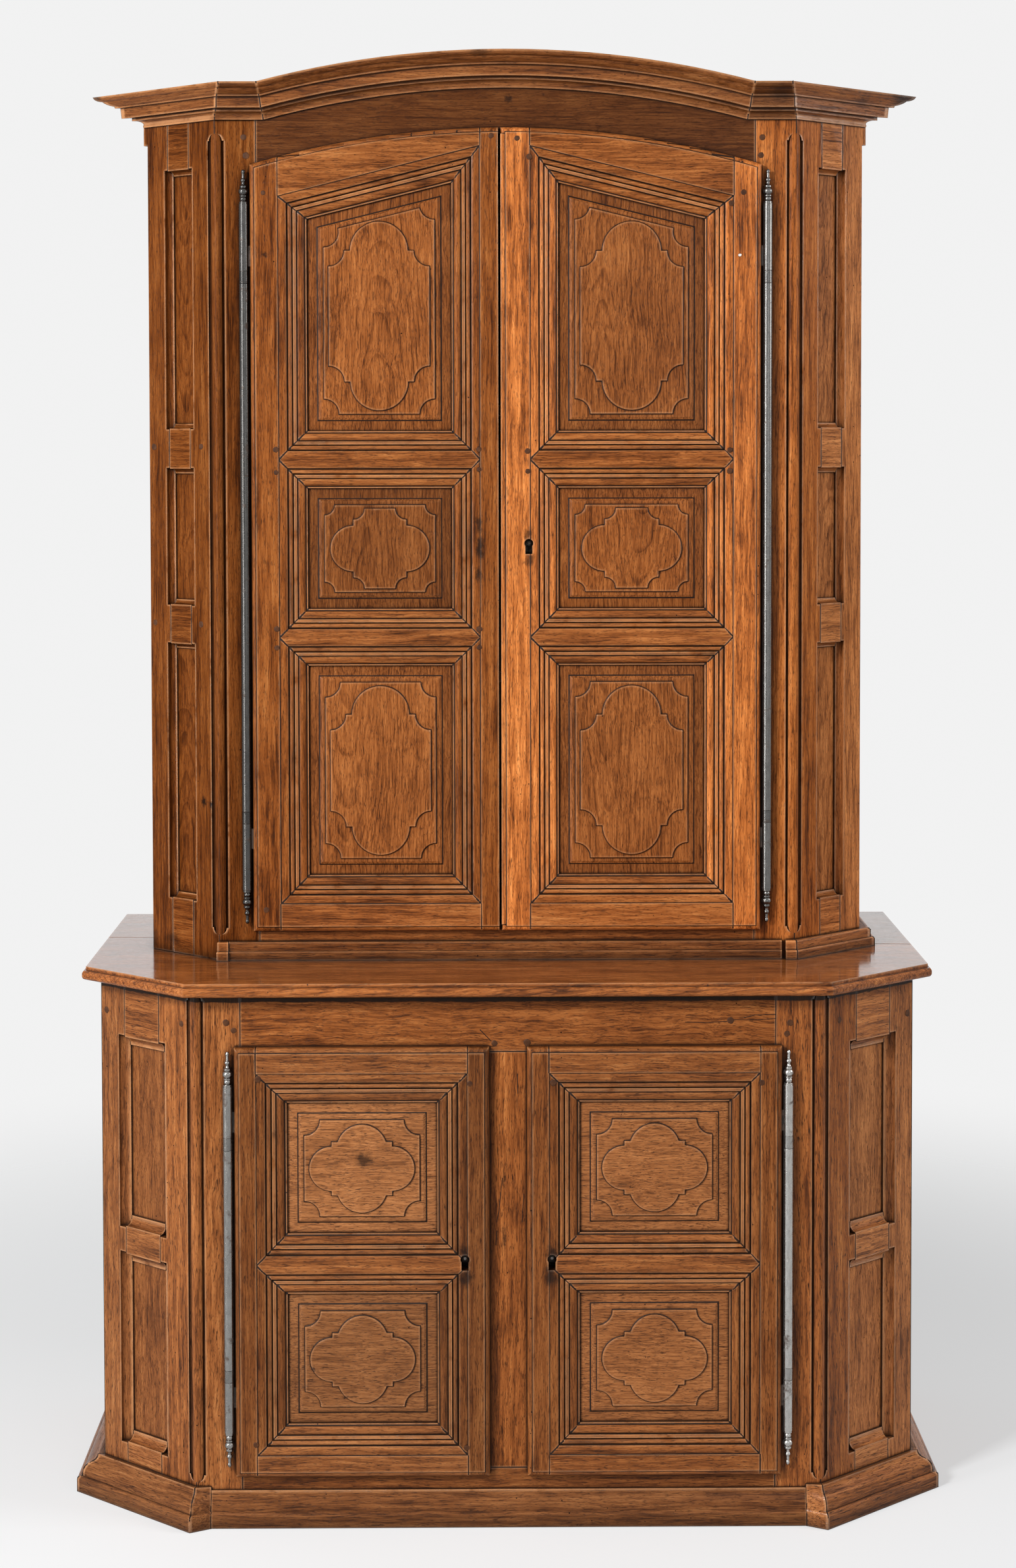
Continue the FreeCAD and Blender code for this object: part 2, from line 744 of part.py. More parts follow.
    def panel(self, index, relief, scoop):
        """Tongued panel with a sloping margin, a raised field, a scooped rectangle and a cartouche."""
        opening = self.openings[index]
        tongue = prism_xz(grown(opening, tongue_width), panel_depth, panel_depth + tongue_thickness)
        field = grown(opening, -panel_margin)
        slope_y = panel_depth - panel_slope
        field_y = slope_y - relief_step
        levels = [(opening, panel_depth), (field, slope_y), (grown(field, -field_slope), field_y)]
        wires = [Part.makePolygon([V(x, y, z) for x, z in points + points[:1]]) for points, y in levels]
        slope = Part.makeLoft(wires[:2], True, True)
        raised = Part.makeLoft(wires[1:], True, True)
        inner = grown(field, -field_border)
        scooped = prism_xz(inner, field_y - relief_step, panel_depth)
        for x, z in inner:
            scooped = scooped.cut(cylinder_y(x, z, scoop, field_y - relief_step, field_y))
        middle_x = (opening[0][0] + opening[1][0]) / 2
        crest_y = field_y - 2 * relief_step
        return tongue.fuse([slope, raised, scooped] + relief(inner, middle_x, crest_y)).removeSplitter()

    def place(self, shapes):
        placed = [shape.copy() for shape in shapes]
        for shape in placed:
            shape.translate(V(0, self.depth_y, 0))
        return placed


def tall_cartouche(inner, x, y):
    """Upright cartouche: scooped shoulders and a round lobe above and below."""
    top = min(inner[2][1], inner[3][1]) + (max(inner[2][1], inner[3][1]) - min(inner[2][1], inner[3][1])) / 2
    width = inner[1][0] - inner[0][0]
    half = width * cartouche_half_share
    lobe = width * cartouche_lobe_share
    low = inner[0][1] + cartouche_inset + lobe
    high = top - cartouche_inset - lobe
    body = box(x - half, x + half, y, panel_depth, low, high)
    for side in (-1, 1):
        for z in (low, high):
            body = body.cut(cylinder_y(x + side * half, z, width * cartouche_scoop_share, y, y + relief_step))
    return [body, cylinder_y(x, low, lobe, y, panel_depth), cylinder_y(x, high, lobe, y, panel_depth)]


def broad_cartouche(inner, x, y):
    """Level cartouche: scooped shoulders and a round lobe at each end."""
    low = inner[0][1] + cartouche_inset
    high = inner[2][1] - cartouche_inset
    height = inner[2][1] - inner[0][1]
    half = (inner[1][0] - inner[0][0]) * broad_half_share
    body = box(x - half, x + half, y, panel_depth, low, high)
    for side in (-1, 1):
        for z in (low, high):
            body = body.cut(cylinder_y(x + side * half, z, height * broad_scoop_share, y, y + relief_step))
    middle = (low + high) / 2
    lobe = height * broad_lobe_share
    return [body] + [cylinder_y(x + side * half, middle, lobe, y, panel_depth) for side in (-1, 1)]


def quatrefoil(inner, x, y):
    """Four lobes with square notches between them."""
    middle = (inner[0][1] + inner[2][1]) / 2
    width, height = inner[1][0] - inner[0][0], inner[2][1] - inner[0][1]
    half = width * foil_half_share
    half_height = height * foil_height_share
    body = box(x - half, x + half, y, panel_depth, middle - half_height, middle + half_height)
    radius = height * foil_top_share
    rise = half_height + height * foil_rise_share - radius
    lobes = [cylinder_y(x, middle + side * rise, radius, y, panel_depth) for side in (-1, 1)]
    lobes += [cylinder_y(x + side * half, middle, width * foil_side_share, y, panel_depth)
              for side in (-1, 1)]
    return [body] + lobes


def key_tool(x, z, y0, y1):
    """Keyhole: a round eye over a slot."""
    slot = box(x - key_slot_width / 2, x + key_slot_width / 2, y0, y1, z - key_slot_drop, z)
    return cylinder_y(x, z, key_radius, y0, y1).fuse(slot)


# Hinge rods: a long fixed barrel, a knuckle with a turned finial at each end, one pin through all
def finial(x, y, z, direction):
    steps = scaled_steps(finial_shares, rod_radius, finial_height)
    start = (0.0, 0.0)
    place = lambda s: V(x + s[0], y, z + direction * s[1])
    face = face_of(start, steps + [(start,)], place)
    return face.revolve(V(x, y, z), V(0, 0, 1), 360)


def hinge(x, face_y, z0, z1, knuckle_length, side):
    """Barrel, knuckles and pin of one rod; side is +1 where the door lies to the right of the rod."""
    y = face_y - rod_radius - rod_stand
    low, high = z0 + knuckle_length, z1 - knuckle_length
    bore = cylinder_z(x, y, pin_radius + pin_clearance, z0 - overrun, z1 + overrun)
    barrel = cylinder_z(x, y, rod_radius, low + knuckle_gap, high - knuckle_gap)
    half = leaf_thickness / 2
    frame_leaves = []
    for z in (low + leaf_inset, (low + high) / 2 - leaf_height / 2, high - leaf_inset - leaf_height):
        frame_leaves.append(box(x - half, x + half, y, face_y + leaf_reach, z, z + leaf_height))
    barrel = barrel.fuse(frame_leaves).cut(bore)
    knuckles, door_leaves = [], []
    for end, start_z, direction in ((z0, low, -1), (z1, high, 1)):
        knuckle = cylinder_z(x, y, rod_radius, min(end, start_z), max(end, start_z))
        line = start_z + direction * ring_height
        groove = cylinder_z(x, y, rod_radius + overrun, line, line + ring_line)
        knuckle = knuckle.cut(groove.cut(cylinder_z(x, y, rod_radius - ring_line, line, line + ring_line)))
        knuckle = knuckle.fuse(finial(x, y, end, direction))
        z = start_z + direction * (ring_height + leaf_inset)
        leaf_end = x + side * (rod_offset + leaf_reach)
        leaf = box(x, leaf_end, y - half, y + half, z, z + direction * leaf_height)
        blind = cylinder_z(x, y, pin_radius + pin_clearance, z0 + pin_radius, z1 - pin_radius)
        knuckles.append(knuckle.fuse(leaf).cut(blind).removeSplitter())
        door_leaves.append(leaf)
    pin = cylinder_z(x, y, pin_radius, z0 + pin_radius + knuckle_gap, z1 - pin_radius - knuckle_gap)
    return barrel.removeSplitter(), knuckles, pin, frame_leaves, door_leaves


def lock(edge_x, key_x, key_z, door_y, side):
    """Lock case with its key pin, and the bolt; side is the way that the bolt shoots."""
    y0 = door_y + door_thickness
    back_x = edge_x - side * lock_length
    case = box(back_x, edge_x, y0, y0 + lock_thickness, key_z - lock_height / 2, key_z + lock_height / 2)
    low_y = y0 + (lock_thickness - bolt_thickness) / 2
    bolt_z = key_z + key_radius + lock_wall
    bolt = box(edge_x - side * bolt_length, edge_x, low_y, low_y + bolt_thickness,
               bolt_z, bolt_z + bolt_height)
    c = bolt_clearance
    channel = box(edge_x - side * (bolt_length + lock_wall), edge_x + side * overrun, low_y - c,
                  low_y + bolt_thickness + c, bolt_z - c, bolt_z + bolt_height + c)
    room = key_tool(key_x, key_z, y0 - overrun, y0 + lock_thickness - lock_wall)
    pin = cylinder_y(key_x, key_z, lock_pin_radius, door_y + door_thickness * (1 - lock_pin_share),
                     y0 + lock_thickness - lock_wall / 2)
    return case.cut([channel, room]).fuse(pin), bolt


def bolt_room(bolt, side, reach, room):
    """The room that a thrown lock bolt needs in the piece that it enters."""
    b = bolt.BoundBox
    tip = b.XMax if side == 1 else b.XMin
    return box(tip, tip + side * reach, b.YMin - room, b.YMax + room, b.ZMin - room, b.ZMax + room)


os.makedirs("parts", exist_ok=True)

# Posts, canted corners and sides of both cases
lower_frames, lower_panels, lower_cuts = cant_frame(
    lower_corner_half, lower_side_half, lower_face_y, lower_front_stile, lower_back_stile, lower_cant_rails,
    (lower_cant_panel, lower_cant_panel), 0.0, lower_height, lower_cant_moulding)
upper_frames, upper_panels, upper_cuts = cant_frame(
    upper_corner_half, upper_side_half, upper_face_y, upper_front_stile, upper_back_stile, upper_cant_rails,
    (upper_cant_panel, upper_cant_middle_panel, upper_cant_panel), upper_base_z, case_top_z,
    upper_cant_moulding)
lower_post = corner_post(lower_corner_half, lower_post_inner_half, lower_face_y, lower_front_stile, 0.0,
                         lower_height, plinth_corner_height + overrun, 0.0).cut(lower_cuts)
upper_post = corner_post(upper_corner_half, upper_post_inner_half, upper_face_y, upper_front_stile,
                         upper_base_z, case_top_z, bead_stop_low, bead_stop_top).cut(upper_cuts)
relief_y = upper_face_y + (upper_side_half - upper_corner_half) * sin_cant / cos_cant
relief = box(upper_side_plane, upper_side_half + overrun, relief_y - cant_thickness,
             relief_y + cant_thickness, upper_base_z - overrun, case_top_z - relief_stop_top)
upper_frames[0] = upper_frames[0].cut(relief)
save("lower_cant_frames", both(lower_frames))
save("lower_cant_panels", both(lower_panels))
save("upper_cant_frames", both(upper_frames))
save("upper_cant_panels", both(upper_panels))
save("lower_sides", both([side_board(lower_side_half, lower_corner_half, lower_face_y, 0.0, lower_height,
                                     lower_frames[0])]))
save("upper_sides", both([side_board(upper_side_plane, upper_corner_half, upper_face_y, upper_base_z,
                                     case_top_z, upper_frames[0])]))
save("lower_back", plank_set(lower_side_half - side_thickness, case_back_y - back_thickness, case_back_y,
                             lower_bottom_rail_z, lower_height, back_planks))
save("upper_back", plank_set(upper_side_plane - side_thickness, case_back_y - back_thickness, case_back_y,
                             upper_base_z, case_top_z, back_planks))

# Front rails and the middle muntin of the lower case
opening_low = lower_door_bottom + door_overlap
opening_high = lower_door_top - door_overlap
half = lower_post_inner_half
low_rail, low_tenons = rail_with_tenons(-half, half, lower_face_y, lower_bottom_rail_z, opening_low,
                                        *centred(lower_bottom_rail_z, opening_low, case_tenon_share))
top_rail, top_tenons = rail_with_tenons(-half, half, lower_face_y, opening_high, lower_height,
                                        *centred(opening_high, lower_height, case_tenon_share))
muntin_half = lower_door_inner_half + door_overlap
muntin = box(-muntin_half, muntin_half, lower_face_y, lower_face_y + muntin_thickness, opening_low,
             opening_high)
tenon_y = lower_face_y + (frame_thickness - tenon_thickness) / 2
muntin_tenon = muntin_half * case_tenon_share
stub = case_tenon_length / 2
muntin = muntin.fuse(box(-muntin_tenon, muntin_tenon, tenon_y, tenon_y + tenon_thickness, opening_low - stub,
                         opening_high + stub))
lower_post = lower_post.cut(low_tenons + top_tenons)
low_rail = low_rail.cut(muntin).fuse(low_tenons)
top_rail = top_rail.cut(muntin).fuse(top_tenons)
save("lower_bottom_rail", [low_rail])
save("lower_top_rail", [top_rail])

# Arched frieze rail and bottom rail of the upper case
half = upper_post_inner_half
upper_opening_low = upper_door_bottom + door_overlap
base_rail, base_tenons = rail_with_tenons(-half, half, upper_face_y, upper_base_z, upper_opening_low,
                                          *centred(upper_base_z, upper_opening_low, case_tenon_share))
opening_radius = arch_radius - door_overlap
frieze_radius = crown_radius - upper_top_gap


def on_circle(x, centre_z, radius):
    return (x, centre_z + math.sqrt(radius ** 2 - x ** 2))


arch_left = on_circle(-half, arch_centre_z, opening_radius)
arch_right = on_circle(half, arch_centre_z, opening_radius)
frieze_left = on_circle(-half, crown_centre_z, frieze_radius)
frieze_right = on_circle(half, crown_centre_z, frieze_radius)
frieze = face_of(arch_left, [(on_circle(0.0, arch_centre_z, opening_radius), arch_right), (frieze_right,),
                             (on_circle(0.0, crown_centre_z, frieze_radius), frieze_left), (arch_left,)],
                 lambda p: V(p[0], upper_face_y, p[1])).extrude(V(0, frame_thickness, 0))
frieze_tenons = rail_with_tenons(-half, half, upper_face_y, arch_left[1], frieze_left[1],
                                 *centred(arch_left[1], frieze_left[1], case_tenon_share))[1]
frieze = frieze.fuse(frieze_tenons)
upper_post = upper_post.cut(base_tenons + frieze_tenons)
base_rail = base_rail.fuse(base_tenons)

# Doors: lower pair
lower_door_y = lower_face_y - door_proud - door_gap
lower_doors = {}
for name, x0, x1 in (("lower_left", -lower_door_half, -lower_door_inner_half),
                     ("lower_right", lower_door_inner_half, lower_door_half)):
    lower_doors[name] = Door(x0, x1, lower_door_bottom, lower_door_top, (lower_stile, lower_stile),
                             lower_moulding, lower_bottom_door_rail, lower_panel_heights, (1, 1), (1, 1),
                             (0.0, 0.0), lower_door_y)

# Doors: arched upper pair; the slanting head of the top panel climbs towards the middle
upper_door_y = upper_face_y - door_proud - door_gap
meeting_left = meeting_x - meeting_gap / 2
meeting_right = meeting_x + meeting_gap / 2
upper_doors = {
    "upper_left": Door(-upper_door_half, meeting_left, upper_door_bottom, None,
                       (upper_stile, upper_left_meeting_stile), upper_moulding, upper_bottom_rail,
                       upper_panel_heights, (1, 0), (1, 0), (0.0, arch_panel_rise), upper_door_y),
    "upper_right": Door(meeting_right, upper_door_half, upper_door_bottom, None,
                        (upper_right_meeting_stile, upper_stile), upper_moulding, upper_bottom_rail,
                        upper_panel_heights, (1, 1), (0, 1), (arch_panel_rise, 0.0), upper_door_y),
}

door_solids = {}
for name, door in list(lower_doors.items()) + list(upper_doors.items()):
    stiles, rails = door.members()
    if name in lower_doors:
        kinds = [(quatrefoil, scoop_radius)] * len(door.openings)
    else:
        kinds = [(tall_cartouche, scoop_radius), (broad_cartouche, small_scoop_radius),
                 (tall_cartouche, scoop_radius)]
    panels = [door.panel(i, relief, scoop) for i, (relief, scoop) in enumerate(kinds)]
    door_solids[name] = [door.place(stiles), door.place(rails), door.place(panels)]

# Hinge rods, with their leaves let into the posts and the doors
barrels = []
for name, side, face_y, z0, z1 in (("lower_left", 1, lower_face_y, lower_rod_low, lower_rod_top),
                                   ("lower_right", -1, lower_face_y, lower_rod_low, lower_rod_top),
                                   ("upper_left", 1, upper_face_y, upper_rod_low, upper_rod_top),
                                   ("upper_right", -1, upper_face_y, upper_rod_low, upper_rod_top)):
    edge, knuckle = lower_door_half, lower_knuckle_length
    if name in upper_doors:
        edge, knuckle = upper_door_half, upper_knuckle_length
    rod_x = -side * (edge + rod_offset)
    barrel, knuckles, pin, frame_leaves, door_leaves = hinge(rod_x, face_y, z0, z1, knuckle, side)
    barrels.append(barrel)
    save(name + "_hinge_knuckles", knuckles)
    save(name + "_hinge_pin", [pin])
    hinge_stile = 0 if side == 1 else 1
    stiles = door_solids[name][0]
    stiles[hinge_stile] = stiles[hinge_stile].cut(door_leaves)
    if side == -1:
        continue
    if name in lower_doors:
        lower_post = lower_post.cut([mirrored(leaf) for leaf in frame_leaves])
    else:
        upper_post = upper_post.cut([mirrored(leaf) for leaf in frame_leaves])
save("hinge_barrels", barrels)
save("lower_corner_posts", both([lower_post]))
save("upper_corner_posts", both([upper_post]))

# Locks: one on each lower door, shooting into the muntin, and one on the upper right door, whose bolt
# enters a keeper on the back of the upper left door
strikes = []
for name, side in (("lower_left", 1), ("lower_right", -1), ("upper_right", -1)):
    if name in lower_doors:
        edge_x = -side * (lower_door_inner_half + opening_inset)
        key_x = -side * (lower_door_inner_half + lower_key_inset)
        key_z, door_y = lower_key_z, lower_door_y
    else:
        edge_x = meeting_right + lock_edge_room
        key_x = meeting_right + upper_key_inset
        key_z, door_y = upper_key_z, upper_door_y
    case, bolt = lock(edge_x, key_x, key_z, door_y, side)
    strikes.append(bolt_room(bolt, side, bolt_throw + strike_room, strike_room))
    save(name + "_lock_case", [case])
    save(name + "_lock_bolt", [bolt])
    tool = key_tool(key_x, key_z, door_y - overrun, door_y + door_thickness + overrun)
    for group in (0, 1):
        door_solids[name][group] = [solid.cut(tool) for solid in door_solids[name][group]]
save("lower_muntin", [muntin.cut(strikes[:2])])

# Slide bolts that hold the upper left door at its head and foot
bolt_x = meeting_left - slide_bolt_inset
bolt_y = upper_door_y + door_thickness + slide_bolt_back
head_z = on_circle(bolt_x, arch_centre_z, arch_radius - opening_inset)[1] - slide_bolt_back
foot_z = upper_door_bottom + opening_inset + slide_bolt_back
throat = bolt_room(bolt, -1, bolt_throw + keeper_length, bolt_clearance)
b = throat.BoundBox
keeper_x = meeting_left - lock_edge_room
keeper = box(keeper_x - keeper_length, keeper_x, upper_door_y + door_thickness, b.YMax + keeper_wall,
             b.ZMin - keeper_wall, b.ZMax + keeper_wall).cut(throat)
staples, mortises = [keeper], []
half = slide_bolt_width / 2
for name, tip, direction in (("upper_left_top_bolt", head_z, 1), ("upper_left_bottom_bolt", foot_z, -1)):
    tail = tip - direction * slide_bolt_length
    bolt = box(bolt_x - half, bolt_x + half, bolt_y, bolt_y + slide_bolt_thickness, tail, tip)
    knob_z = (tail + tip) / 2
    knob = cylinder_y(bolt_x, knob_z, slide_knob_radius, bolt_y + slide_bolt_thickness,
                      bolt_y + slide_bolt_thickness + slide_knob_length)
    save(name, [bolt.fuse(knob)])
    c = bolt_clearance
    for z in (tip - direction * staple_inset, tail + direction * staple_inset):
        wall = staple_wall + c
        outer = box(bolt_x - half - wall, bolt_x + half + wall, bolt_y - slide_bolt_back,
                    bolt_y + slide_bolt_thickness + wall, z - staple_height / 2, z + staple_height / 2)
        inner = box(bolt_x - half - c, bolt_x + half + c, bolt_y - c, bolt_y + slide_bolt_thickness + c,
                    z - staple_height, z + staple_height)
        staples.append(outer.cut(inner))
    room = strike_room
    reach = direction * (slide_bolt_throw + 2 * overrun)
    mortises.append(box(bolt_x - half - room, bolt_x + half + room, bolt_y - room,
                        bolt_y + slide_bolt_thickness + room, tip, tip + reach))
save("upper_left_door_keepers", staples)
save("frieze_rail", [frieze.cut(mortises[0])])
save("upper_bottom_rail", [base_rail.cut(mortises[1])])
for name, (stiles, rails, panels) in door_solids.items():
    save(name + "_door_stiles", stiles)
    save(name + "_door_rails", rails)
    save(name + "_door_panels", panels)

# Floors, shelves and their battens
save("lower_floor", [deck(lower_corner_half, lower_side_half, lower_face_y, lower_floor_top - board_plank,
                          lower_floor_top, frame_thickness, 0.0)])
save("upper_floor", [deck(upper_corner_half, upper_side_plane, upper_face_y, upper_floor_top - board_plank,
                          upper_floor_top, frame_thickness, 0.0)])
save("upper_top", [deck(upper_corner_half, upper_side_plane, upper_face_y, upper_top_z,
                        upper_top_z + board_plank, frame_thickness, 0.0)])
save("lower_shelf", [deck(lower_corner_half, lower_side_half, lower_face_y, lower_shelf_z,
                          lower_shelf_z + board_plank, shelf_front_room, shelf_side_room)])
save("upper_shelves", [deck(upper_corner_half, upper_side_plane, upper_face_y, z, z + board_plank,
                            shelf_front_room, shelf_side_room) for z in upper_shelf_zs])
lower_battens = battens(lower_side_half, lower_corner_half, lower_face_y,
                        (lower_floor_top - board_plank, lower_shelf_z))
upper_battens = battens(upper_side_plane, upper_corner_half, upper_face_y,
                        (upper_floor_top - board_plank,) + upper_shelf_zs)
save("shelf_battens", both(lower_battens + upper_battens))

# Top board of the lower case: two planks with a skew joint and a stepped, rounded nosing
lower_cant_y = lower_face_y + (lower_side_half - lower_corner_half) * sin_cant / cos_cant
plan = [(-lower_corner_half, lower_face_y), (lower_corner_half, lower_face_y),
        (lower_side_half, lower_cant_y), (lower_side_half, back_y), (-lower_side_half, back_y),
        (-lower_side_half, lower_cant_y)]
outs = [board_overhang, board_overhang, board_side_overhang, 0.0, board_side_overhang, board_overhang]
noses = [out + nosing_step if out else out for out in outs]
tread = prism_xy(offset_polygon(plan, outs), lower_height, upper_base_z)
nose = prism_xy(offset_polygon(plan, noses), lower_height, upper_base_z - nosing_rise)
level_edges = [edge for edge in nose.Edges if edge.BoundBox.ZLength < nosing_round
               and edge.BoundBox.YMin < back_y - nosing_round]
nose = nose.makeFillet(nosing_round, level_edges)
board = nose.fuse(tread).removeSplitter()
reach = lower_side_half + board_side_overhang + 2 * nosing_step
joint = [(-reach, lower_face_y + plank_joint_left), (reach, lower_face_y + plank_joint_right)]
far = back_y + overrun
back_zone = prism_xy([joint[0], joint[1], (reach, far), (-reach, far)], 0.0, upper_base_z + overrun)
gap_zone = prism_xy([(x, y - plank_gap) for x, y in joint] + [(reach, far), (-reach, far)], 0.0,
                    upper_base_z + overrun)
save("top_board_front_plank", [board.cut(gap_zone)])
save("top_board_back_plank", [board.common(back_zone)])

# Plinth: a low front length, short returns that flare out to the corners, canted and side lengths
plinth_front = moulding_run([(-plinth_return_half, lower_face_y), (plinth_return_half, lower_face_y)],
                            plinth_shares, [plinth_out], plinth_height, 0.0)
corner_path = [(plinth_return_half, lower_face_y), (lower_corner_half, lower_face_y),
               (lower_side_half, lower_cant_y), (lower_side_half, case_back_y)]
corner_outs = [plinth_corner_out * share for share in (1, plinth_cant_share, plinth_side_share)]
plinth_runs = moulding_run(corner_path, plinth_shares, corner_outs, plinth_corner_height, 0.0)[1:]
plinth_tip = meet((0.0, lower_face_y - corner_outs[0]), (1.0, 0.0),
                  cant_point(lower_corner_half, lower_face_y, 0, -corner_outs[1]), (cos_cant, sin_cant))
return_ends = (corner_path[0], (plinth_return_half, lower_face_y - plinth_out)), (corner_path[1], plinth_tip)
return_wires = [section_wire(plinth_shares, root, tip, plinth_corner_height, 0.0)
                for root, tip in return_ends]
plinth_returns = [Part.makeLoft(return_wires, True, True).cut(plinth_runs[0])]
save("plinth_front", plinth_front)
save("plinth_corners", both(plinth_returns + plinth_runs))

# Base moulding of the upper case: the left canted length is lost, only its corner block remains;
# the front length has come away from the right corner block
upper_cant_y = upper_face_y + (upper_side_plane - upper_corner_half) * sin_cant / cos_cant
base_ends = [(-base_half, upper_face_y), (base_half - base_gap, upper_face_y)]
base_front = moulding_run(base_ends, base_shares, [base_out], base_height, upper_base_z)
base_path = [(base_half, upper_face_y), (upper_corner_half, upper_face_y), (upper_side_plane, upper_cant_y),
             (upper_side_plane, case_back_y)]
base_outs = [base_out * base_return_share, base_out * base_cant_share, base_out * base_side_share]
base_right = [run.cut(upper_frames[0])
              for run in moulding_run(base_path, base_shares, base_outs, base_height, upper_base_z)]
save("base_moulding_front", base_front + [mirrored(base_right[0])])
save("base_moulding_right", base_right)

# Cornice: arched over the doors, level at the ends, mitred round the canted corners and cut off at the sides
corner = (upper_corner_half, upper_face_y)
cornice_path = [(-corner[0], corner[1]), corner, (upper_side_plane, upper_cant_y),
                (upper_side_plane, case_back_y)]
cornice_outs = [cornice_out, cornice_out * cornice_cant_share, cornice_out * cornice_side_share]
cornice_low = cornice_top_z - cornice_height
runs = moulding_run(cornice_path, cornice_shares, cornice_outs, cornice_height, cornice_low)
level = runs[0].common(mirrored(runs[0]))
kink = math.asin(cornice_flat_half / crown_radius)
lean = math.tan(kink / 2)
reach_z = 2 * cornice_height
arch_zone = [(side * (cornice_flat_half + lean * dz), cornice_top_z + dz)
             for side, dz in ((-1, -reach_z), (1, -reach_z), (1, reach_z), (-1, reach_z))]
arch_tool = prism_xz(arch_zone, upper_face_y - 2 * cornice_out, upper_face_y + overrun)
steps = scaled_steps(cornice_shares, cornice_out, cornice_height)
start = (0.0, 0.0)
section = face_of(start, steps + [(start,)],
                  lambda s: V(0, upper_face_y - s[0], crown_apex_z - cornice_height + s[1]))
swing = 2 * math.degrees(kink)
section.rotate(V(0, 0, crown_centre_z), V(0, 1, 0), -swing)
arch = section.revolve(V(0, 0, crown_centre_z), V(0, 1, 0), 2 * swing).common(arch_tool)
save("cornice_front", [arch] + level.cut(arch_tool).Solids)
save("cornice_returns", both([runs[1].cut(upper_frames[0])]))
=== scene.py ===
import json
import math
import random

import bmesh
import bpy
from mathutils import Matrix, Vector
from mathutils.bvhtree import BVHTree

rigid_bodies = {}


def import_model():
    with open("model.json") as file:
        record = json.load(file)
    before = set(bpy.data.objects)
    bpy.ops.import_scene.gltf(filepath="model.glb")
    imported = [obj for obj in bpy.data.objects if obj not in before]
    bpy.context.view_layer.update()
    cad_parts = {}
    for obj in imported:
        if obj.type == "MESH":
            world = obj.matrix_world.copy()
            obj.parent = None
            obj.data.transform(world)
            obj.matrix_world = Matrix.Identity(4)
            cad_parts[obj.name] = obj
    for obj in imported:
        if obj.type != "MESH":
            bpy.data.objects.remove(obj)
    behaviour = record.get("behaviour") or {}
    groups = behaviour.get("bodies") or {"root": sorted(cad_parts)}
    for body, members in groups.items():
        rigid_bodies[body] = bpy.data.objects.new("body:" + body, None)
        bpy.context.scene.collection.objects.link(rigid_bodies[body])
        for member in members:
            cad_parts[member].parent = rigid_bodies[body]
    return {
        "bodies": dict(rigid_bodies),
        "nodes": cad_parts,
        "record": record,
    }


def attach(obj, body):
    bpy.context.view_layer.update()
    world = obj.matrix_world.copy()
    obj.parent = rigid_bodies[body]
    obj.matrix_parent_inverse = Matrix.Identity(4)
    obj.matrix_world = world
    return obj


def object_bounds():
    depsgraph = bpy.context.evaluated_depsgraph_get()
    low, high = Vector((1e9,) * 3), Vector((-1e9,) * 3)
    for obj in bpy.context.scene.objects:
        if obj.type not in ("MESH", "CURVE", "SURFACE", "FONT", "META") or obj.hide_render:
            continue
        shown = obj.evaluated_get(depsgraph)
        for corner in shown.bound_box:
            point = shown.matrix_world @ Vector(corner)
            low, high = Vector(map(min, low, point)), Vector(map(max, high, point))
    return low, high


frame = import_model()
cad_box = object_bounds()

nodes = frame["nodes"]
scene = bpy.context.scene
X, Y, Z = Vector((1, 0, 0)), Vector((0, 1, 0)), Vector((0, 0, 1))
FRONT = -Y
CANT = math.radians(40)
LEFT_CANT = Vector((-math.sin(CANT), -math.cos(CANT), 0))
RIGHT_CANT = Vector((math.sin(CANT), -math.cos(CANT), 0))
MM_PER_M = 1000
# The top board parts the lower case from the upper one at this height
BOARD_LEVEL = 0.85


def metres(x, y, z):
    return Vector((x, y, z)) / MM_PER_M


# Boards: each closed solid of a node gets the run of its fibres, its pith, its tone and its wear

def key_of(point):
    """A point's place, rounded so that the corners of neighbouring faces agree."""
    return tuple(round(c, 5) for c in point)


def solids_of(mesh):
    """Polygon numbers of each closed solid, in the order in which the mesh holds them."""
    key = [key_of(v.co) for v in mesh.vertices]
    groups, group, waiting = [], [], {}
    for polygon in mesh.polygons:
        group.append(polygon.index)
        corners = [key[i] for i in polygon.vertices]
        for a, b in zip(corners, corners[1:] + corners[:1]):
            if a == b:
                continue
            if waiting.get((b, a)):
                waiting[(b, a)] -= 1
                if not waiting[(b, a)]:
                    del waiting[(b, a)]
            else:
                waiting[(a, b)] = waiting.get((a, b), 0) + 1
        if not waiting:
            groups.append(group)
            group = []
    if group:
        groups.append(group)
    return groups


def box_of(mesh, group):
    points = [mesh.vertices[i].co for p in group for i in mesh.polygons[p].vertices]
    return (Vector([min(p[k] for p in points) for k in range(3)]),
            Vector([max(p[k] for p in points) for k in range(3)]))


# Lengths that tell the side lengths and the short returns of a moulding, and the stiles of a frame
SIDE_LENGTH = 0.25
RETURN_LENGTH = 0.06
STILE_LENGTH = 0.4


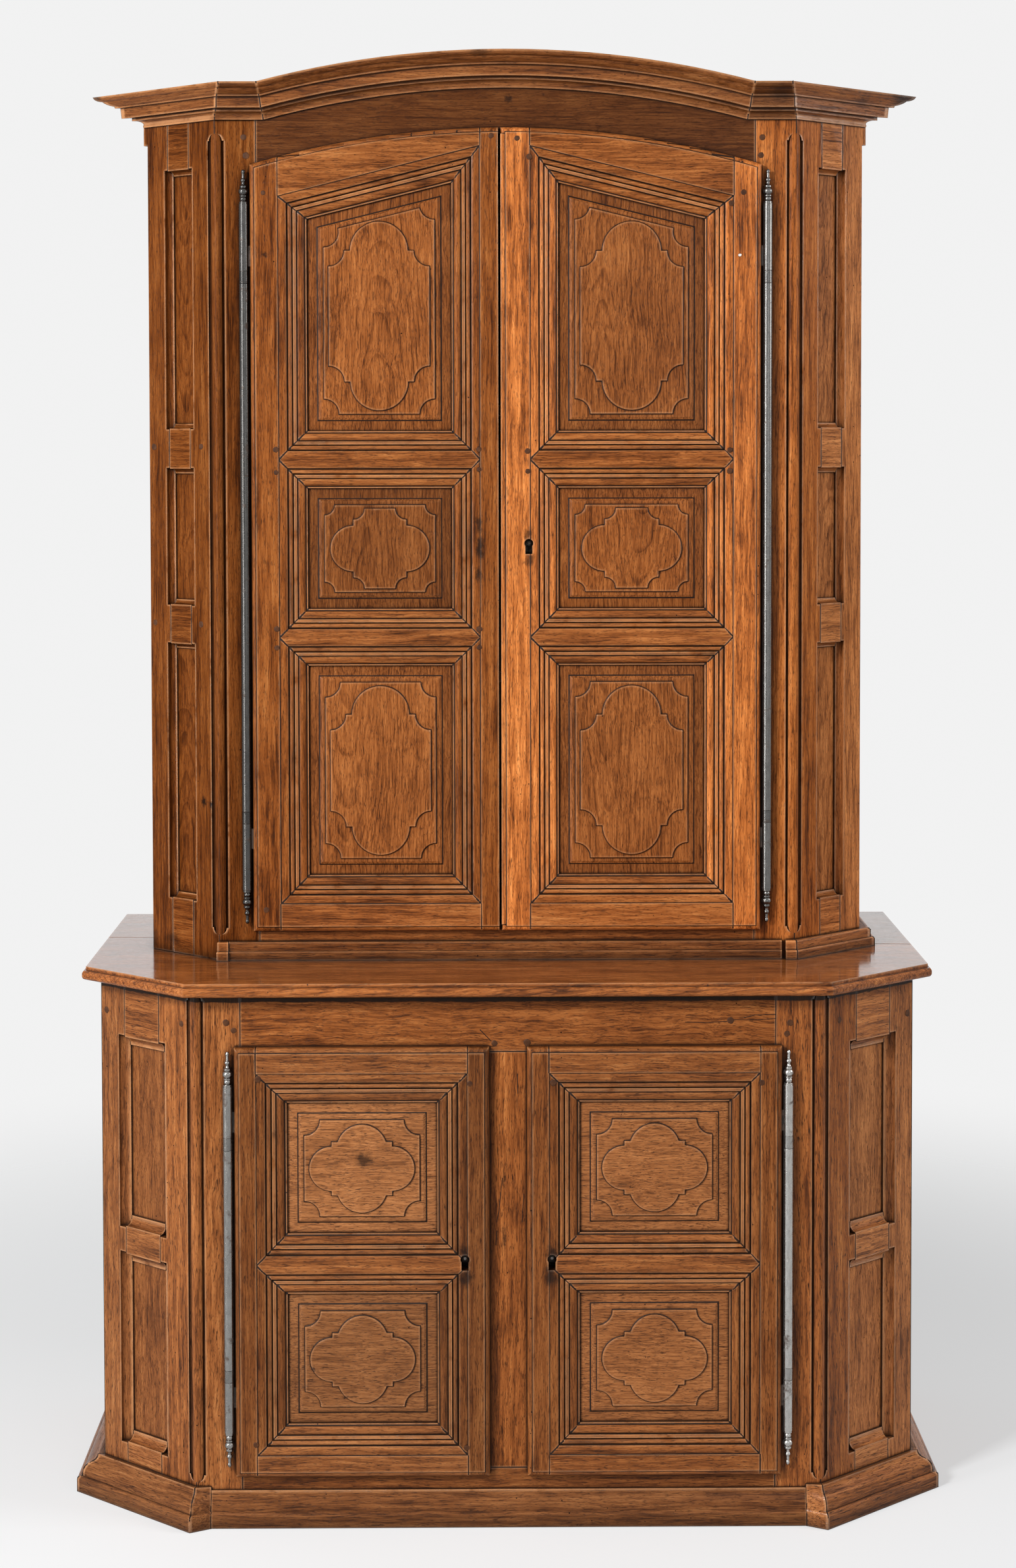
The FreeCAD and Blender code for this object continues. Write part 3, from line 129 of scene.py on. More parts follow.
def run_of(name, low, high):
    """Fibre direction and outward face of one board of a node."""
    size, side = high - low, 1 if (low + high).x > 0 else -1
    cant = Vector((math.cos(CANT), side * math.sin(CANT), 0))
    outward = RIGHT_CANT if side > 0 else LEFT_CANT
    if name in ("plinth_corners", "cornice_returns", "base_moulding_right"):
        if size.y > SIDE_LENGTH:
            return Y, X * side
        return (X, FRONT) if size.x < RETURN_LENGTH else (cant, outward)
    if "cant_frames" in name:
        return (Z if size.z > STILE_LENGTH else cant), outward
    if "cant_panels" in name:
        return Z, outward
    if name.endswith("_sides"):
        return Z, X * side
    if name.endswith("_back"):
        return Z, Y
    if "board" in name or name.endswith(("_floor", "_top", "_shelf", "_shelves")):
        return X, Z
    if name == "shelf_battens":
        return Y, X * side
    upright = name.endswith(("_stiles", "_posts", "_muntin"))
    if upright or name.startswith("upper") and name.endswith("_panels"):
        return Z, FRONT
    return X, FRONT


# How the boards of a node look: brightness, warmth, wear, curl of the grain, sheen and contrast of the
# streaks; three values stand for boards on the left, in the middle and on the right. The higher brightness
# of the cants, posts and corners on the right is partly painted light from the right side
PLAIN = (0.85, 0.1, 0.4, 0.0, 0.10, 1.2)
LOOKS = {
    "frieze_rail": (0.37, 0.3, 0.3, 0.0, 0.08, 0.8),
    "cornice_front": ((0.62, 0.74, 0.42), 0.1, 0.4, 0.0, 0.12, 1.2),
    "cornice_returns": ((0.66, 0.7, 1.0), 0.0, 0.5, 0.0, (0.10, 0.10, 0.14), 1.2),
    "upper_bottom_rail": (0.80, 0.5, 0.5, 0.0, 0.08, 1.2),
    "upper_corner_posts": ((0.48, 0.7, 1.30), (1.0, 1.0, 0.8), 0.4, 0.0, (0.02, 0.02, 0.05), 1.2),
    "upper_cant_frames": ((0.54, 0.8, 1.52), (0.9, 0.5, -0.4), 0.4, 0.0, (0.03, 0.1, 0.06), 1.2),
    "upper_cant_panels": ((0.56, 0.8, 1.45), (0.9, 0.5, -0.4), 0.3, 0.05, (0.03, 0.1, 0.06), 0.9),
    "upper_sides": (0.80, 0.2, 0.3, 0.0, 0.1, 1.0),
    "base_moulding_front": ((0.80, 0.66, 0.66), 0.0, 0.7, 0.0, 0.10, 1.2),
    "base_moulding_right": (1.25, -0.4, 0.6, 0.0, 0.20, 1.2),
    "top_board_front_plank": (1.20, 0.4, 0.3, 0.08, 0.25, 1.2),
    "top_board_back_plank": (0.95, 0.0, 0.6, 0.08, 0.30, 1.2),
    "lower_top_rail": (0.90, 0.4, 0.6, 0.15, 0.10, 1.2),
    "lower_bottom_rail": (0.72, 0.3, 0.7, 0.05, 0.10, 1.2),
    "lower_muntin": (1.12, 0.5, 0.8, 0.05, 0.10, 1.2),
    "lower_corner_posts": ((0.95, 1.0, 1.05), (0.1, 0.1, 0.4), 1.0, 0.05, (0.10, 0.1, 0.20), 1.3),
    "lower_cant_frames": ((0.87, 1.1, 1.55), (-0.2, -0.3, -0.6), 0.8, 0.05, (0.12, 0.2, 0.28), 1.2),
    "lower_cant_panels": ((0.76, 1.0, 1.48), (-0.1, 0.0, -0.6), 0.6, 0.1, (0.12, 0.2, 0.28), 1.0),
    "plinth_front": (0.64, -0.3, 0.7, 0.0, 0.12, 1.2),
    "plinth_corners": ((0.70, 0.9, 1.15), -0.4, 1.0, 0.0, (0.12, 0.2, 0.30), 1.2),
    "upper_left_door_stiles": (0.78, 0.9, 0.4, 0.0, 0.06, 1.4),
    "upper_right_door_stiles": (1.68, 0.6, 0.4, 0.0, 0.08, 1.4),
    "upper_left_door_rails": (0.92, 0.3, 0.4, 0.04, 0.08, 1.3),
    "upper_right_door_rails": (1.0, 0.4, 0.4, 0.04, 0.08, 1.3),
    "upper_left_door_panels": (1.02, 0.25, 0.3, 0.06, 0.06, 0.62),
    "upper_right_door_panels": (0.94, 0.4, 0.3, 0.06, 0.06, 0.62),
    "lower_left_door_stiles": (0.57, 0.2, 0.75, 0.0, 0.10, 1.2),
    "lower_right_door_stiles": (0.74, 0.3, 0.75, 0.0, 0.10, 1.2),
    "lower_left_door_rails": (0.88, -0.1, 0.7, 0.06, 0.12, 1.2),
    "lower_right_door_rails": (0.88, 0.1, 0.7, 0.06, 0.12, 1.2),
    "lower_left_door_panels": (1.30, -1.0, 0.7, 0.05, 0.12, 0.36),
    "lower_right_door_panels": (1.09, -0.5, 0.7, 0.05, 0.12, 0.36),
}
# A board counts as in the middle when it is no further than this from the plane of symmetry
MIDDLE_HALF = 0.05

# Panels that are darker than the others of their door, by the height of their middle
DARK_PANELS = {("upper_left_door_panels", 1.5): 0.68, ("lower_left_door_panels", 0.3): 0.68}
HEIGHT_SLACK = 0.06

# Draws for flat-sawn and for other boards: the pith beside the board (as shares of its width) and behind it,
# and the slope of the fibres
FLAT_ASIDE, FLAT_DEPTH, FLAT_TILT = (-0.22, 0.22), (0.02, 0.05), (0.05, 0.085)
OTHER_ASIDE, OTHER_DEPTH, OTHER_TILT = (0.5, 1.1), (0.03, 0.12), (0.005, 0.03)
LEAST_WIDTH = 0.07
PITH_ALONG = (-0.2, 0.2)
FIBRE_DRIFT = (-0.012, 0.012)
WARMTH_DRIFT = (-0.12, 0.12)
BRIGHT_SPREAD, BACK_SPREAD = 0.05, 0.25
OWN_SHIFT = 20
FAINT_RINGS = 0.3
# The upper door panels darken below this depth, on the margin round the field: painted shade of the
# mouldings, and dust
FIELD_DEPTH = 0.008
MARGIN_SHADE = 0.80
# Only the top of the board carries a coat of wax; elsewhere the sheen is held down
COAT, THIN_COAT = 0.85, 0.03
MOST_SHEEN = 0.14
UPWARD = 0.9


def at_side(value, x):
    """The value for a board at x: three values stand for left, middle and right."""
    if not isinstance(value, tuple):
        return value
    return value[1] if abs(x) < MIDDLE_HALF else value[2 if x > 0 else 0]


def set_faces(mesh, label, values):
    layer = mesh.attributes.new(label, "FLOAT_VECTOR", "FACE")
    layer.data.foreach_set("vector", [c for v in values for c in v])


def mark_boards(name, obj):
    """Face attributes of every board of a node: fibres, pith, tone, state and polish."""
    mesh = obj.data
    count = len(mesh.polygons)
    grain, pith, tone, state, polish = [[None] * count for _ in range(5)]
    rng = random.Random("boards of " + name)
    flat_sawn = name.endswith("panels") or "board" in name
    rings = FAINT_RINGS if name.startswith("lower") or not flat_sawn else 1.0
    spread = BACK_SPREAD if name.endswith("_back") else BRIGHT_SPREAD
    has_margin = name.startswith("upper") and name.endswith("door_panels")
    for group in solids_of(mesh):
        low, high = box_of(mesh, group)
        run, face = run_of(name, low, high)
        across = run.cross(face)
        width = sum(abs(across[k]) * (high - low)[k] for k in range(3))
        length = sum(abs(run[k]) * (high - low)[k] for k in range(3))
        if flat_sawn:
            aside = rng.uniform(*FLAT_ASIDE) * width
            depth = rng.uniform(*FLAT_DEPTH)
            tilt = rng.choice((-1, 1)) * rng.uniform(*FLAT_TILT)
        else:
            aside = rng.choice((-1, 1)) * rng.uniform(*OTHER_ASIDE) * max(width, LEAST_WIDTH)
            depth = rng.uniform(*OTHER_DEPTH)
            tilt = rng.choice((-1, 1)) * rng.uniform(*OTHER_TILT)
        heart = (low + high) / 2 + across * aside - face * depth + run * rng.uniform(*PITH_ALONG) * length
        fibre = (run + face * tilt + across * rng.uniform(*FIBRE_DRIFT)).normalized()
        values = [at_side(value, (low + high).x / 2) for value in LOOKS.get(name, PLAIN)]
        bright, warm, wear, curl, sheen, contrast = values
        for (node, height), share in DARK_PANELS.items():
            if node == name and abs((low + high).z / 2 - height) < HEIGHT_SLACK:
                bright *= share
        own = rng.random() * OWN_SHIFT
        bright *= rng.uniform(1 - spread, 1 + spread)
        warm += rng.uniform(*WARMTH_DRIFT)
        margin = low.y + FIELD_DEPTH if has_margin else high.y
        for p in group:
            polygon = mesh.polygons[p]
            grain[p], pith[p] = fibre, heart
            tone[p] = (own, bright * MARGIN_SHADE if polygon.center.y > margin else bright, warm)
            state[p] = (wear, curl, rings)
            coated = "board" in name and polygon.normal.z > UPWARD
            polish[p] = (sheen, contrast, COAT) if coated else (min(sheen, MOST_SHEEN), contrast, THIN_COAT)
    set_faces(mesh, "grain", grain)
    set_faces(mesh, "pith", pith)
    set_faces(mesh, "tone", tone)
    set_faces(mesh, "state", state)
    set_faces(mesh, "polish", polish)


# Brightness and rust of the four rods, by whether they are upper ones and on the right; their brightness is
# painted light and reflection
ROD_LIGHT_AND_RUST = {(True, False): (0.74, 0.25), (True, True): (1.4, 0.3),
             (False, False): (2.5, 0.5), (False, True): (4.0, 0.35)}
# The leaves behind the rods are dark with painted shade and rust, and the turned rings of the finials a
# little darker than the rods
LEAF_SHADE_AND_RUST = (0.25, 1.2)
RING_SHADE = 0.72
ROD_RADIUS = 0.0076
ROD_SLACK = 0.0006
RING_HEIGHT = 0.0195


def rod_axes():
    joints = frame["record"]["behaviour"]["joints"]
    return [Vector(joint["pos_m"]) for joint in joints if joint["type"] == "hinge"]


def mark_iron(name, obj):
    """Tone of every iron face: the shift of its solid's pattern, brightness and rust."""
    mesh = obj.data
    tone = [None] * len(mesh.polygons)
    rng = random.Random("iron of " + name)
    axes = rod_axes()
    barrels = nodes["hinge_barrels"].data
    ends = {}
    for group in solids_of(barrels):
        low, high = box_of(barrels, group)
        ends[low.z > BOARD_LEVEL, low.x > 0] = low.z, high.z
    for group in solids_of(mesh):
        low, high = box_of(mesh, group)
        place = (low + high).z / 2 > BOARD_LEVEL, (low + high).x > 0
        own = rng.random() * OWN_SHIFT
        for p in group:
            if "hinge" not in name:
                tone[p] = (own, 1.0, 1.0)
                continue
            # The rod's brightness is painted light and reflection; its rust is its own
            bright, rust = ROD_LIGHT_AND_RUST[place]
            centre = mesh.polygons[p].center
            # Faces away from the rod are the leaf: painted shade and rust
            if min((centre.xy - axis.xy).length for axis in axes) > ROD_RADIUS + ROD_SLACK:
                bright, rust = LEAF_SHADE_AND_RUST
            foot, head = ends[place]
            on_ring = foot - RING_HEIGHT < centre.z < foot or head < centre.z < head + RING_HEIGHT
            if "knuckle" in name and on_ring:
                bright *= RING_SHADE
            tone[p] = (own, bright, rust)
    set_faces(mesh, "tone", tone)


def soften(obj, width):
    """Worn arrises: the mesh is joined up, its flats merged and its edges rounded."""
    weld = obj.modifiers.new("join", "WELD")
    weld.merge_threshold = 1e-5
    flats = obj.modifiers.new("flats", "DECIMATE")
    flats.decimate_type = "DISSOLVE"
    flats.angle_limit = math.radians(0.2)
    bevel = obj.modifiers.new("arris", "BEVEL")
    bevel.limit_method = "ANGLE"
    bevel.angle_limit = math.radians(30)
    bevel.width = width
    bevel.segments = 3
    bevel.use_clamp_overlap = True
    normals = obj.modifiers.new("normals", "WEIGHTED_NORMAL")
    normals.weight = 50


# Shader trees

class Tree:
    """The node tree of a material or world with short calls; an input is a socket or a plain value."""

    def __init__(self, owner):
        owner.use_nodes = True
        self.owner = owner
        self.nodes = owner.node_tree.nodes
        self.links = owner.node_tree.links

    def shader(self):
        return self.nodes["Principled BSDF"].inputs

    def put(self, socket, value):
        if isinstance(value, bpy.types.NodeSocket):
            self.links.new(value, socket)
        else:
            socket.default_value = value

    def node(self, kind, out=0, inputs=(), **settings):
        made = self.nodes.new("ShaderNode" + kind)
        for key, value in settings.items():
            setattr(made, key, value)
        for key, value in (inputs.items() if isinstance(inputs, dict) else enumerate(inputs)):
            self.put(made.inputs[key], value)
        return made.outputs[out]

    def math(self, operation, *values, clamp=False):
        return self.node("Math", inputs=values, operation=operation, use_clamp=clamp)

    def vector(self, operation, *values):
        out = "Value" if operation in ("DOT_PRODUCT", "LENGTH") else "Vector"
        inputs = dict(enumerate(values))
        if operation == "SCALE":
            inputs = {0: values[0], "Scale": values[1]}
        return self.node("VectorMath", out, inputs, operation=operation)

    def span(self, value, low, high, start=0.0, end=1.0, smooth=True):
        kind = "SMOOTHSTEP" if smooth else "LINEAR"
        inputs = {0: value, 1: low, 2: high, 3: start, 4: end}
        return self.node("MapRange", 0, inputs, interpolation_type=kind)

    def noise(self, vector, scale, detail=2.0, roughness=0.5, out=0):
        inputs = {"Vector": vector, "Scale": scale, "Detail": detail, "Roughness": roughness}
        return self.node("TexNoise", out, inputs)

    def offset(self, vector, scale, detail, roughness):
        """A noise that pushes places about, in each direction alike."""
        return self.vector("SUBTRACT", self.noise(vector, scale, detail, roughness, "Color"), (0.5, 0.5, 0.5))

    def mix(self, share, a, b):
        return self.node("Mix", 2, {0: share, 6: a, 7: b}, data_type="RGBA")

    def ramp(self, value, stops):
        made = self.nodes.new("ShaderNodeValToRGB")
        self.put(made.inputs[0], value)
        elements = made.color_ramp.elements
        while len(elements) < len(stops):
            elements.new(0.5)
        for element, (place, colour) in zip(elements, stops):
            element.position = place
            element.color = (*colour, 1)
        return made.outputs[0]

    def attribute(self, name):
        return self.node("Attribute", "Vector", attribute_name=name)

    def parts(self, name):
        """The three values of a face attribute."""
        split = self.node("SeparateXYZ", 0, [self.attribute(name)]).node
        return [split.outputs[i] for i in range(3)]

    def place(self):
        return self.node("TexCoord", "Object")

    def shut(self, distance, samples, **settings):
        """Ambient occlusion: 1 in the open, less where faces stand closer than the distance."""
        return self.node("AmbientOcclusion", "AO", {"Distance": distance}, samples=samples, **settings)

    def lean(self, value, weight, base):
        """base plus weight times the value's distance from one half."""
        return self.math("MULTIPLY_ADD", self.math("SUBTRACT", value, 0.5), weight, base)


# Colours of the wood from its darkest streaks to its lightest, where it is warm and where it is cool
WARM = ((0.0, (0.026, 0.006, 0.0012)), (0.25, (0.100, 0.024, 0.0038)), (0.5, (0.290, 0.076, 0.0125)),
        (0.75, (0.460, 0.140, 0.028)), (1.0, (0.620, 0.235, 0.062)))
COOL = ((0.0, (0.028, 0.010, 0.004)), (0.25, (0.100, 0.034, 0.011)), (0.5, (0.285, 0.105, 0.034)),
        (0.75, (0.440, 0.178, 0.062)), (1.0, (0.590, 0.275, 0.108)))
FLECK_COLOUR = (0.022, 0.007, 0.0025, 1)
PORE_COLOUR = (0.032, 0.009, 0.003, 1)
# Rubbed edges: lighter with wear and a painted highlight. Hollows: dark wax with painted shade
RUBBED_HIGHLIGHT_COLOUR = (0.600, 0.265, 0.095, 1)
HOLLOW_SHADE_COLOUR = (0.012, 0.004, 0.0015, 1)
HOLE_COLOUR = (0.008, 0.003, 0.0015, 1)
STAIN_COLOUR = (0.014, 0.006, 0.003, 1)
# Painted shadow under the overhang of the board
BOARD_SHADOW_COLOUR = (0.006, 0.003, 0.0015, 1)
RUST_COLOUR = (0.050, 0.026, 0.015, 1)
WAXED_ROUGH, POLISHED_ROUGH = 0.32, 0.14
RINGS_PER_METRE = 210.0
BOARD_SHADOW_EDGE = 0.002


def walnut(name, marks=(), rough=WAXED_ROUGH, shadow_height=None):
    """Waxed old walnut; marks are (place, size, stretch along Z, strength) of dark spots, knots and stains;
    above the given height the wood is black with painted shadow under the overhang of the board."""
    t = Tree(bpy.data.materials.new(name))
    place = t.place()
    grain = t.attribute("grain")
    own, gain, warm = t.parts("tone")
    wear, curl, flat = t.parts("state")
    sheen, contrast, coat = t.parts("polish")
    sway = t.vector("SCALE", t.offset(place, 13.0, 2.0, 0.5), t.math("MULTIPLY_ADD", curl, 0.06, 0.006))
    away = t.vector("SUBTRACT", t.vector("ADD", place, sway), t.attribute("pith"))
    along = t.vector("SCALE", grain, t.vector("DOT_PRODUCT", away, grain))
    radial = t.vector("SUBTRACT", away, along)
    shift = t.node("CombineXYZ", 0, [own, own, own])

    def drawn(share):
        """Coordinates drawn out along the fibres; a small share gives long streaks."""
        return t.vector("ADD", t.vector("ADD", radial, t.vector("SCALE", along, share)), shift)

    stain = None
    if marks:
        spread = t.vector("ADD", place, t.vector("SCALE", t.offset(place, 90.0, 3.0, 0.6), 0.018))
        for centre, size, stretch, strength in marks:
            gap = t.vector("SUBTRACT", spread, centre)
            gap = t.vector("LENGTH", t.vector("MULTIPLY", gap, (1.0, 1.0, 1.0 / stretch)))
            dark = t.span(gap, size, size * 0.25, 0.0, strength)
            stain = dark if stain is None else t.math("MAXIMUM", stain, dark)

    # Figure: growth rings round the pith, bent by the marks, and streaks, fibres, flecks and pores along it
    cloud = t.noise(place, 11.0, 3.0, 0.55)
    warp = t.noise(drawn(0.10), 14.0, 2.0, 0.5)
    distance = t.lean(warp, 0.013, t.vector("LENGTH", radial))
    if stain is not None:
        distance = t.math("MULTIPLY_ADD", stain, 0.018, distance)
    rings = t.math("FRACT", t.math("MULTIPLY", distance, RINGS_PER_METRE))
    late = t.math("MULTIPLY", t.span(rings, 0.60, 0.94), t.span(rings, 1.0, 0.94))
    bands = t.noise(drawn(0.06), 34.0, 2.0, 0.5)
    streaks = t.noise(drawn(0.05), 150.0, 3.0, 0.6)
    fibres = t.noise(drawn(0.035), 560.0, 2.0, 0.6)
    flecks = t.span(t.noise(drawn(0.09), 620.0, 2.0, 0.55), 0.60, 0.68)
    pores = t.span(t.noise(drawn(0.11), 1050.0, 1.0, 0.5), 0.58, 0.70)

    level = t.lean(cloud, 0.34, 0.54)
    level = t.math("MULTIPLY_ADD", t.math("MULTIPLY", late, flat), -0.15, level)
    level = t.lean(bands, t.math("MULTIPLY", contrast, 0.46), level)
    level = t.lean(streaks, t.math("MULTIPLY", contrast, 0.80), level)
    level = t.lean(fibres, 0.90, level)
    colour = t.mix(t.span(warm, -1.0, 1.0, smooth=False), t.ramp(level, COOL), t.ramp(level, WARM))
    colour = t.vector("SCALE", colour, gain)
    open_grain = t.math("MULTIPLY", flecks, t.math("MULTIPLY_ADD", wear, 0.55, 0.35))
    colour = t.mix(open_grain, colour, FLECK_COLOUR)
    colour = t.mix(t.math("MULTIPLY", pores, 0.60), colour, PORE_COLOUR)

    # Painted shade: hollows, creases and places under overhangs darken by their occlusion, with dark wax and
    # dust in them; edges are rubbed lighter, partly as a painted highlight
    patches = t.noise(place, 35.0, 3.0, 0.6)
    line = t.span(t.lean(patches, 0.08, t.shut(0.0052, 8)), 0.95, 0.58)
    shade = t.span(t.lean(patches, 0.10, t.shut(0.042, 6)), 0.84, 0.42)
    hollow = t.math("MAXIMUM", t.math("MULTIPLY", line, 0.94), t.math("MULTIPLY", shade, 0.85))
    edge = t.shut(0.0035, 4, inside=True, only_local=True)
    rubbed_and_highlit = t.math("MULTIPLY", t.span(edge, 0.93, 0.55), t.span(patches, 0.22, 0.52))
    colour = t.mix(t.math("MULTIPLY", rubbed_and_highlit, 0.75), colour, RUBBED_HIGHLIGHT_COLOUR)
    colour = t.mix(hollow, colour, HOLLOW_SHADE_COLOUR)

    # Worm holes in clusters, more of them where the wood is worn
    cells = t.node("TexVoronoi", 0, {"Vector": place, "Scale": 85.0}).node
    chosen = t.node("SeparateColor", 0, [cells.outputs["Color"]])
    swarm = t.math("MULTIPLY_ADD", wear, 0.14, t.noise(place, 9.0, 2.0))
    size = t.math("MULTIPLY", t.span(chosen, 0.55, 1.0, 0.0, 0.12), t.span(swarm, 0.52, 0.64))
    holes = t.span(t.math("SUBTRACT", cells.outputs["Distance"], size), 0.0, -0.03)
    colour = t.mix(t.math("MULTIPLY", holes, 0.92), colour, HOLE_COLOUR)
    if stain is not None:
        colour = t.mix(stain, colour, STAIN_COLOUR)

    # Painted shadow of the board's overhang: the wood turns black above the given height
    if shadow_height is not None:
        height = t.node("SeparateXYZ", 2, [place])
        board_shadow = t.span(t.lean(patches, 0.006, height), shadow_height, shadow_height + BOARD_SHADOW_EDGE, 0.0, 0.93)
        colour = t.mix(board_shadow, colour, BOARD_SHADOW_COLOUR)

    shine = t.lean(streaks, 0.25, rough)
    shine = t.math("MULTIPLY_ADD", hollow, 0.30, t.math("MULTIPLY_ADD", open_grain, 0.2, shine))
    shine = t.math("MULTIPLY_ADD", rubbed_and_highlit, -0.12, t.math("MULTIPLY_ADD", holes, 0.4, shine), clamp=True)

    relief = t.math("MULTIPLY_ADD", fibres, 0.35, t.math("MULTIPLY", t.noise(place, 28.0, 2.0), 1.6))
    relief = t.math("MULTIPLY_ADD", streaks, 0.5, relief)
    relief = t.math("MULTIPLY_ADD", open_grain, -0.9, t.math("MULTIPLY_ADD", holes, -1.5, relief))
    relief = t.math("MULTIPLY_ADD", pores, -0.5, relief)
    if stain is not None:
        relief = t.math("MULTIPLY_ADD", stain, -1.2, relief)
    rounded = t.node("Bevel", 0, {"Radius": 0.0013}, samples=4)
    normal = t.node("Bump", 0, {"Strength": 0.5, "Distance": 0.0008, "Height": relief, "Normal": rounded})

    shader = t.shader()
    t.put(shader["Base Color"], colour)
    t.put(shader["Roughness"], shine)
    t.put(shader["Normal"], normal)
    t.put(shader["Specular IOR Level"], t.math("MULTIPLY_ADD", rubbed_and_highlit, 0.50, sheen))
    t.put(shader["Coat Weight"], coat)
    t.put(shader["Coat Roughness"], 0.10)
    return t.owner


def iron(name, tint, gloss):
    """Worn forged iron, polished by hands on the rods, with brown rust in its pits."""
    t = Tree(bpy.data.materials.new(name))
    own, bright, rust = t.parts("tone")
    place = t.vector("ADD", t.place(), t.node("CombineXYZ", 0, [own, own, own]))
    streaks = t.noise(t.vector("MULTIPLY", place, (1.0, 1.0, 0.25)), 260.0, 3.0, 0.6)
    patches = t.noise(place, 38.0, 4.0, 0.65)
    hollow = t.span(t.shut(0.006, 6), 0.75, 0.25)
    pits = t.span(t.noise(place, 520.0, 2.0, 0.6), 0.60, 0.70)
    rusty = t.math("MULTIPLY", t.span(t.math("MULTIPLY_ADD", rust, 0.16, patches), 0.62, 0.76), 0.85)
    rusty = t.math("MAXIMUM", rusty, t.math("MULTIPLY", hollow, 0.75))
    rusty = t.math("MAXIMUM", rusty, t.math("MULTIPLY", pits, 0.35), clamp=True)
    level = t.math("ADD", t.math("MULTIPLY", streaks, 0.7), t.math("MULTIPLY", patches, 0.3))
    dull, clean = (tuple(share * c for c in tint) for share in (0.75, 1.2))
    metal = t.vector("SCALE", t.ramp(level, ((0.30, dull), (0.55, tint), (0.75, clean))), bright)
    relief = t.math("MULTIPLY_ADD", rusty, 0.5, t.math("MULTIPLY", patches, 0.8))
    relief = t.math("MULTIPLY_ADD", pits, -1.0, relief)
    rounded = t.node("Bevel", 0, {"Radius": 0.0006}, samples=4)
    normal = t.node("Bump", 0, {"Strength": 0.35, "Distance": 0.0004, "Height": relief, "Normal": rounded})
    rough = t.math("MULTIPLY_ADD", rusty, 0.35, t.lean(streaks, 0.16, gloss), clamp=True)

    shader = t.shader()
    t.put(shader["Base Color"], t.mix(rusty, metal, RUST_COLOUR))
    t.put(shader["Metallic"], t.span(rusty, 0.2, 0.9, 1.0, 0.25))
    t.put(shader["Roughness"], rough)
    t.put(shader["Normal"], normal)
    return t.owner


def end_grain(name, dark=1.0):
    """Dark end grain of the pegs; darker still, it is the wax in the joints."""
    t = Tree(bpy.data.materials.new(name))
    place = t.place()
    cells = t.noise(place, 1400.0, 3.0, 0.7)
    broad = t.noise(place, 120.0, 2.0, 0.5)
    level = t.math("MULTIPLY_ADD", cells, 0.5, t.math("MULTIPLY", broad, 0.6))
    stops = ((0.30, (0.020, 0.007, 0.003)), (0.55, (0.070, 0.024, 0.008)), (0.85, (0.165, 0.062, 0.021)))
    shader = t.shader()
    t.put(shader["Base Color"], t.ramp(level, [(at, tuple(c * dark for c in rgb)) for at, rgb in stops]))
    t.put(shader["Roughness"], t.math("MULTIPLY_ADD", cells, 0.25, 0.40))
    t.put(shader["Normal"], t.node("Bump", 0, {"Strength": 0.5, "Distance": 0.0003, "Height": cells}))
    t.put(shader["Specular IOR Level"], 0.2)
    return t.owner


# Wood and iron of every node, with the marks that the doors and the case carry

def spot(x, y, z, size, stretch=1.0, strength=0.8):
    """A dark mark, with its place and size in millimetres."""
    return metres(x, y, z), size / MM_PER_M, stretch, strength


MARKS = {
    "upper_left_door_stiles": [spot(-43, -129, 1549, 9, 2.2), spot(-42, -129, 1512, 11, 2.6, 0.9),
                               spot(-44, -129, 1470, 9, 2.0), spot(-378, -129, 1973, 5, 1.4)],
    "upper_right_door_stiles": [spot(35, -129, 1532, 10, 1.6, 0.75), spot(36, -129, 1490, 10, 1.8, 0.7)],
    "lower_left_door_stiles": [spot(-67, -291, 428, 13, 1.6, 0.85), spot(-66, -291, 392, 15, 1.5, 0.85)],
    "lower_right_door_stiles": [spot(67, -291, 430, 13, 1.5, 0.85), spot(66, -291, 394, 15, 1.5, 0.85)],
    "lower_left_door_panels": [spot(-221, -286, 575, 17, 1.0, 0.8), spot(-300, -284, 250, 8, 0.6, 0.8),
                               spot(-250, -284, 205, 7, 0.7, 0.8)],
    "cornice_returns": [spot(655, 5, 2234, 42, 0.6, 0.8), spot(580, -55, 2224, 24, 0.6, 0.5),
                        spot(-664, 14, 2238, 14, 0.8, 0.8)],
    "cornice_front": [spot(432, -150, 2226, 30, 0.8, 0.6), spot(-40, -160, 2286, 26, 0.3, 0.6)],
    "frieze_rail": [spot(4, -113, 2220, 9, 0.9, 0.75), spot(60, -113, 2226, 5, 0.8, 0.5)],
    "upper_corner_posts": [spot(-485, -92, 1103, 7, 1.8, 0.95), spot(-472, -103, 1099, 6, 1.6, 0.95)],
    "lower_muntin": [spot(-6, -275, 540, 5, 4.0, 0.7), spot(-7, -275, 450, 5, 5.0, 0.7)],
    "upper_cant_frames": [spot(-545, -45, 875, 26, 0.5, 0.55), spot(-578, -14, 868, 16, 1.5, 0.7)],
}
# Painted shadow blackens these under the overhang of the board, from this height up
SHADED_UNDER_BOARD = {"lower_top_rail", "lower_corner_posts", "lower_cant_frames"}
BOARD_SHADOW_HEIGHT = 0.8165
# Width of the worn arrises, by the ending of a node's name
SOFT_ARRIS = {"panels": 0.0012, "upper_cant_frames": 0.0008, "rail": 0.0010, "muntin": 0.0012,
              "plank": 0.0012, "sides": 0.0012, "plinth_front": 0.0012}

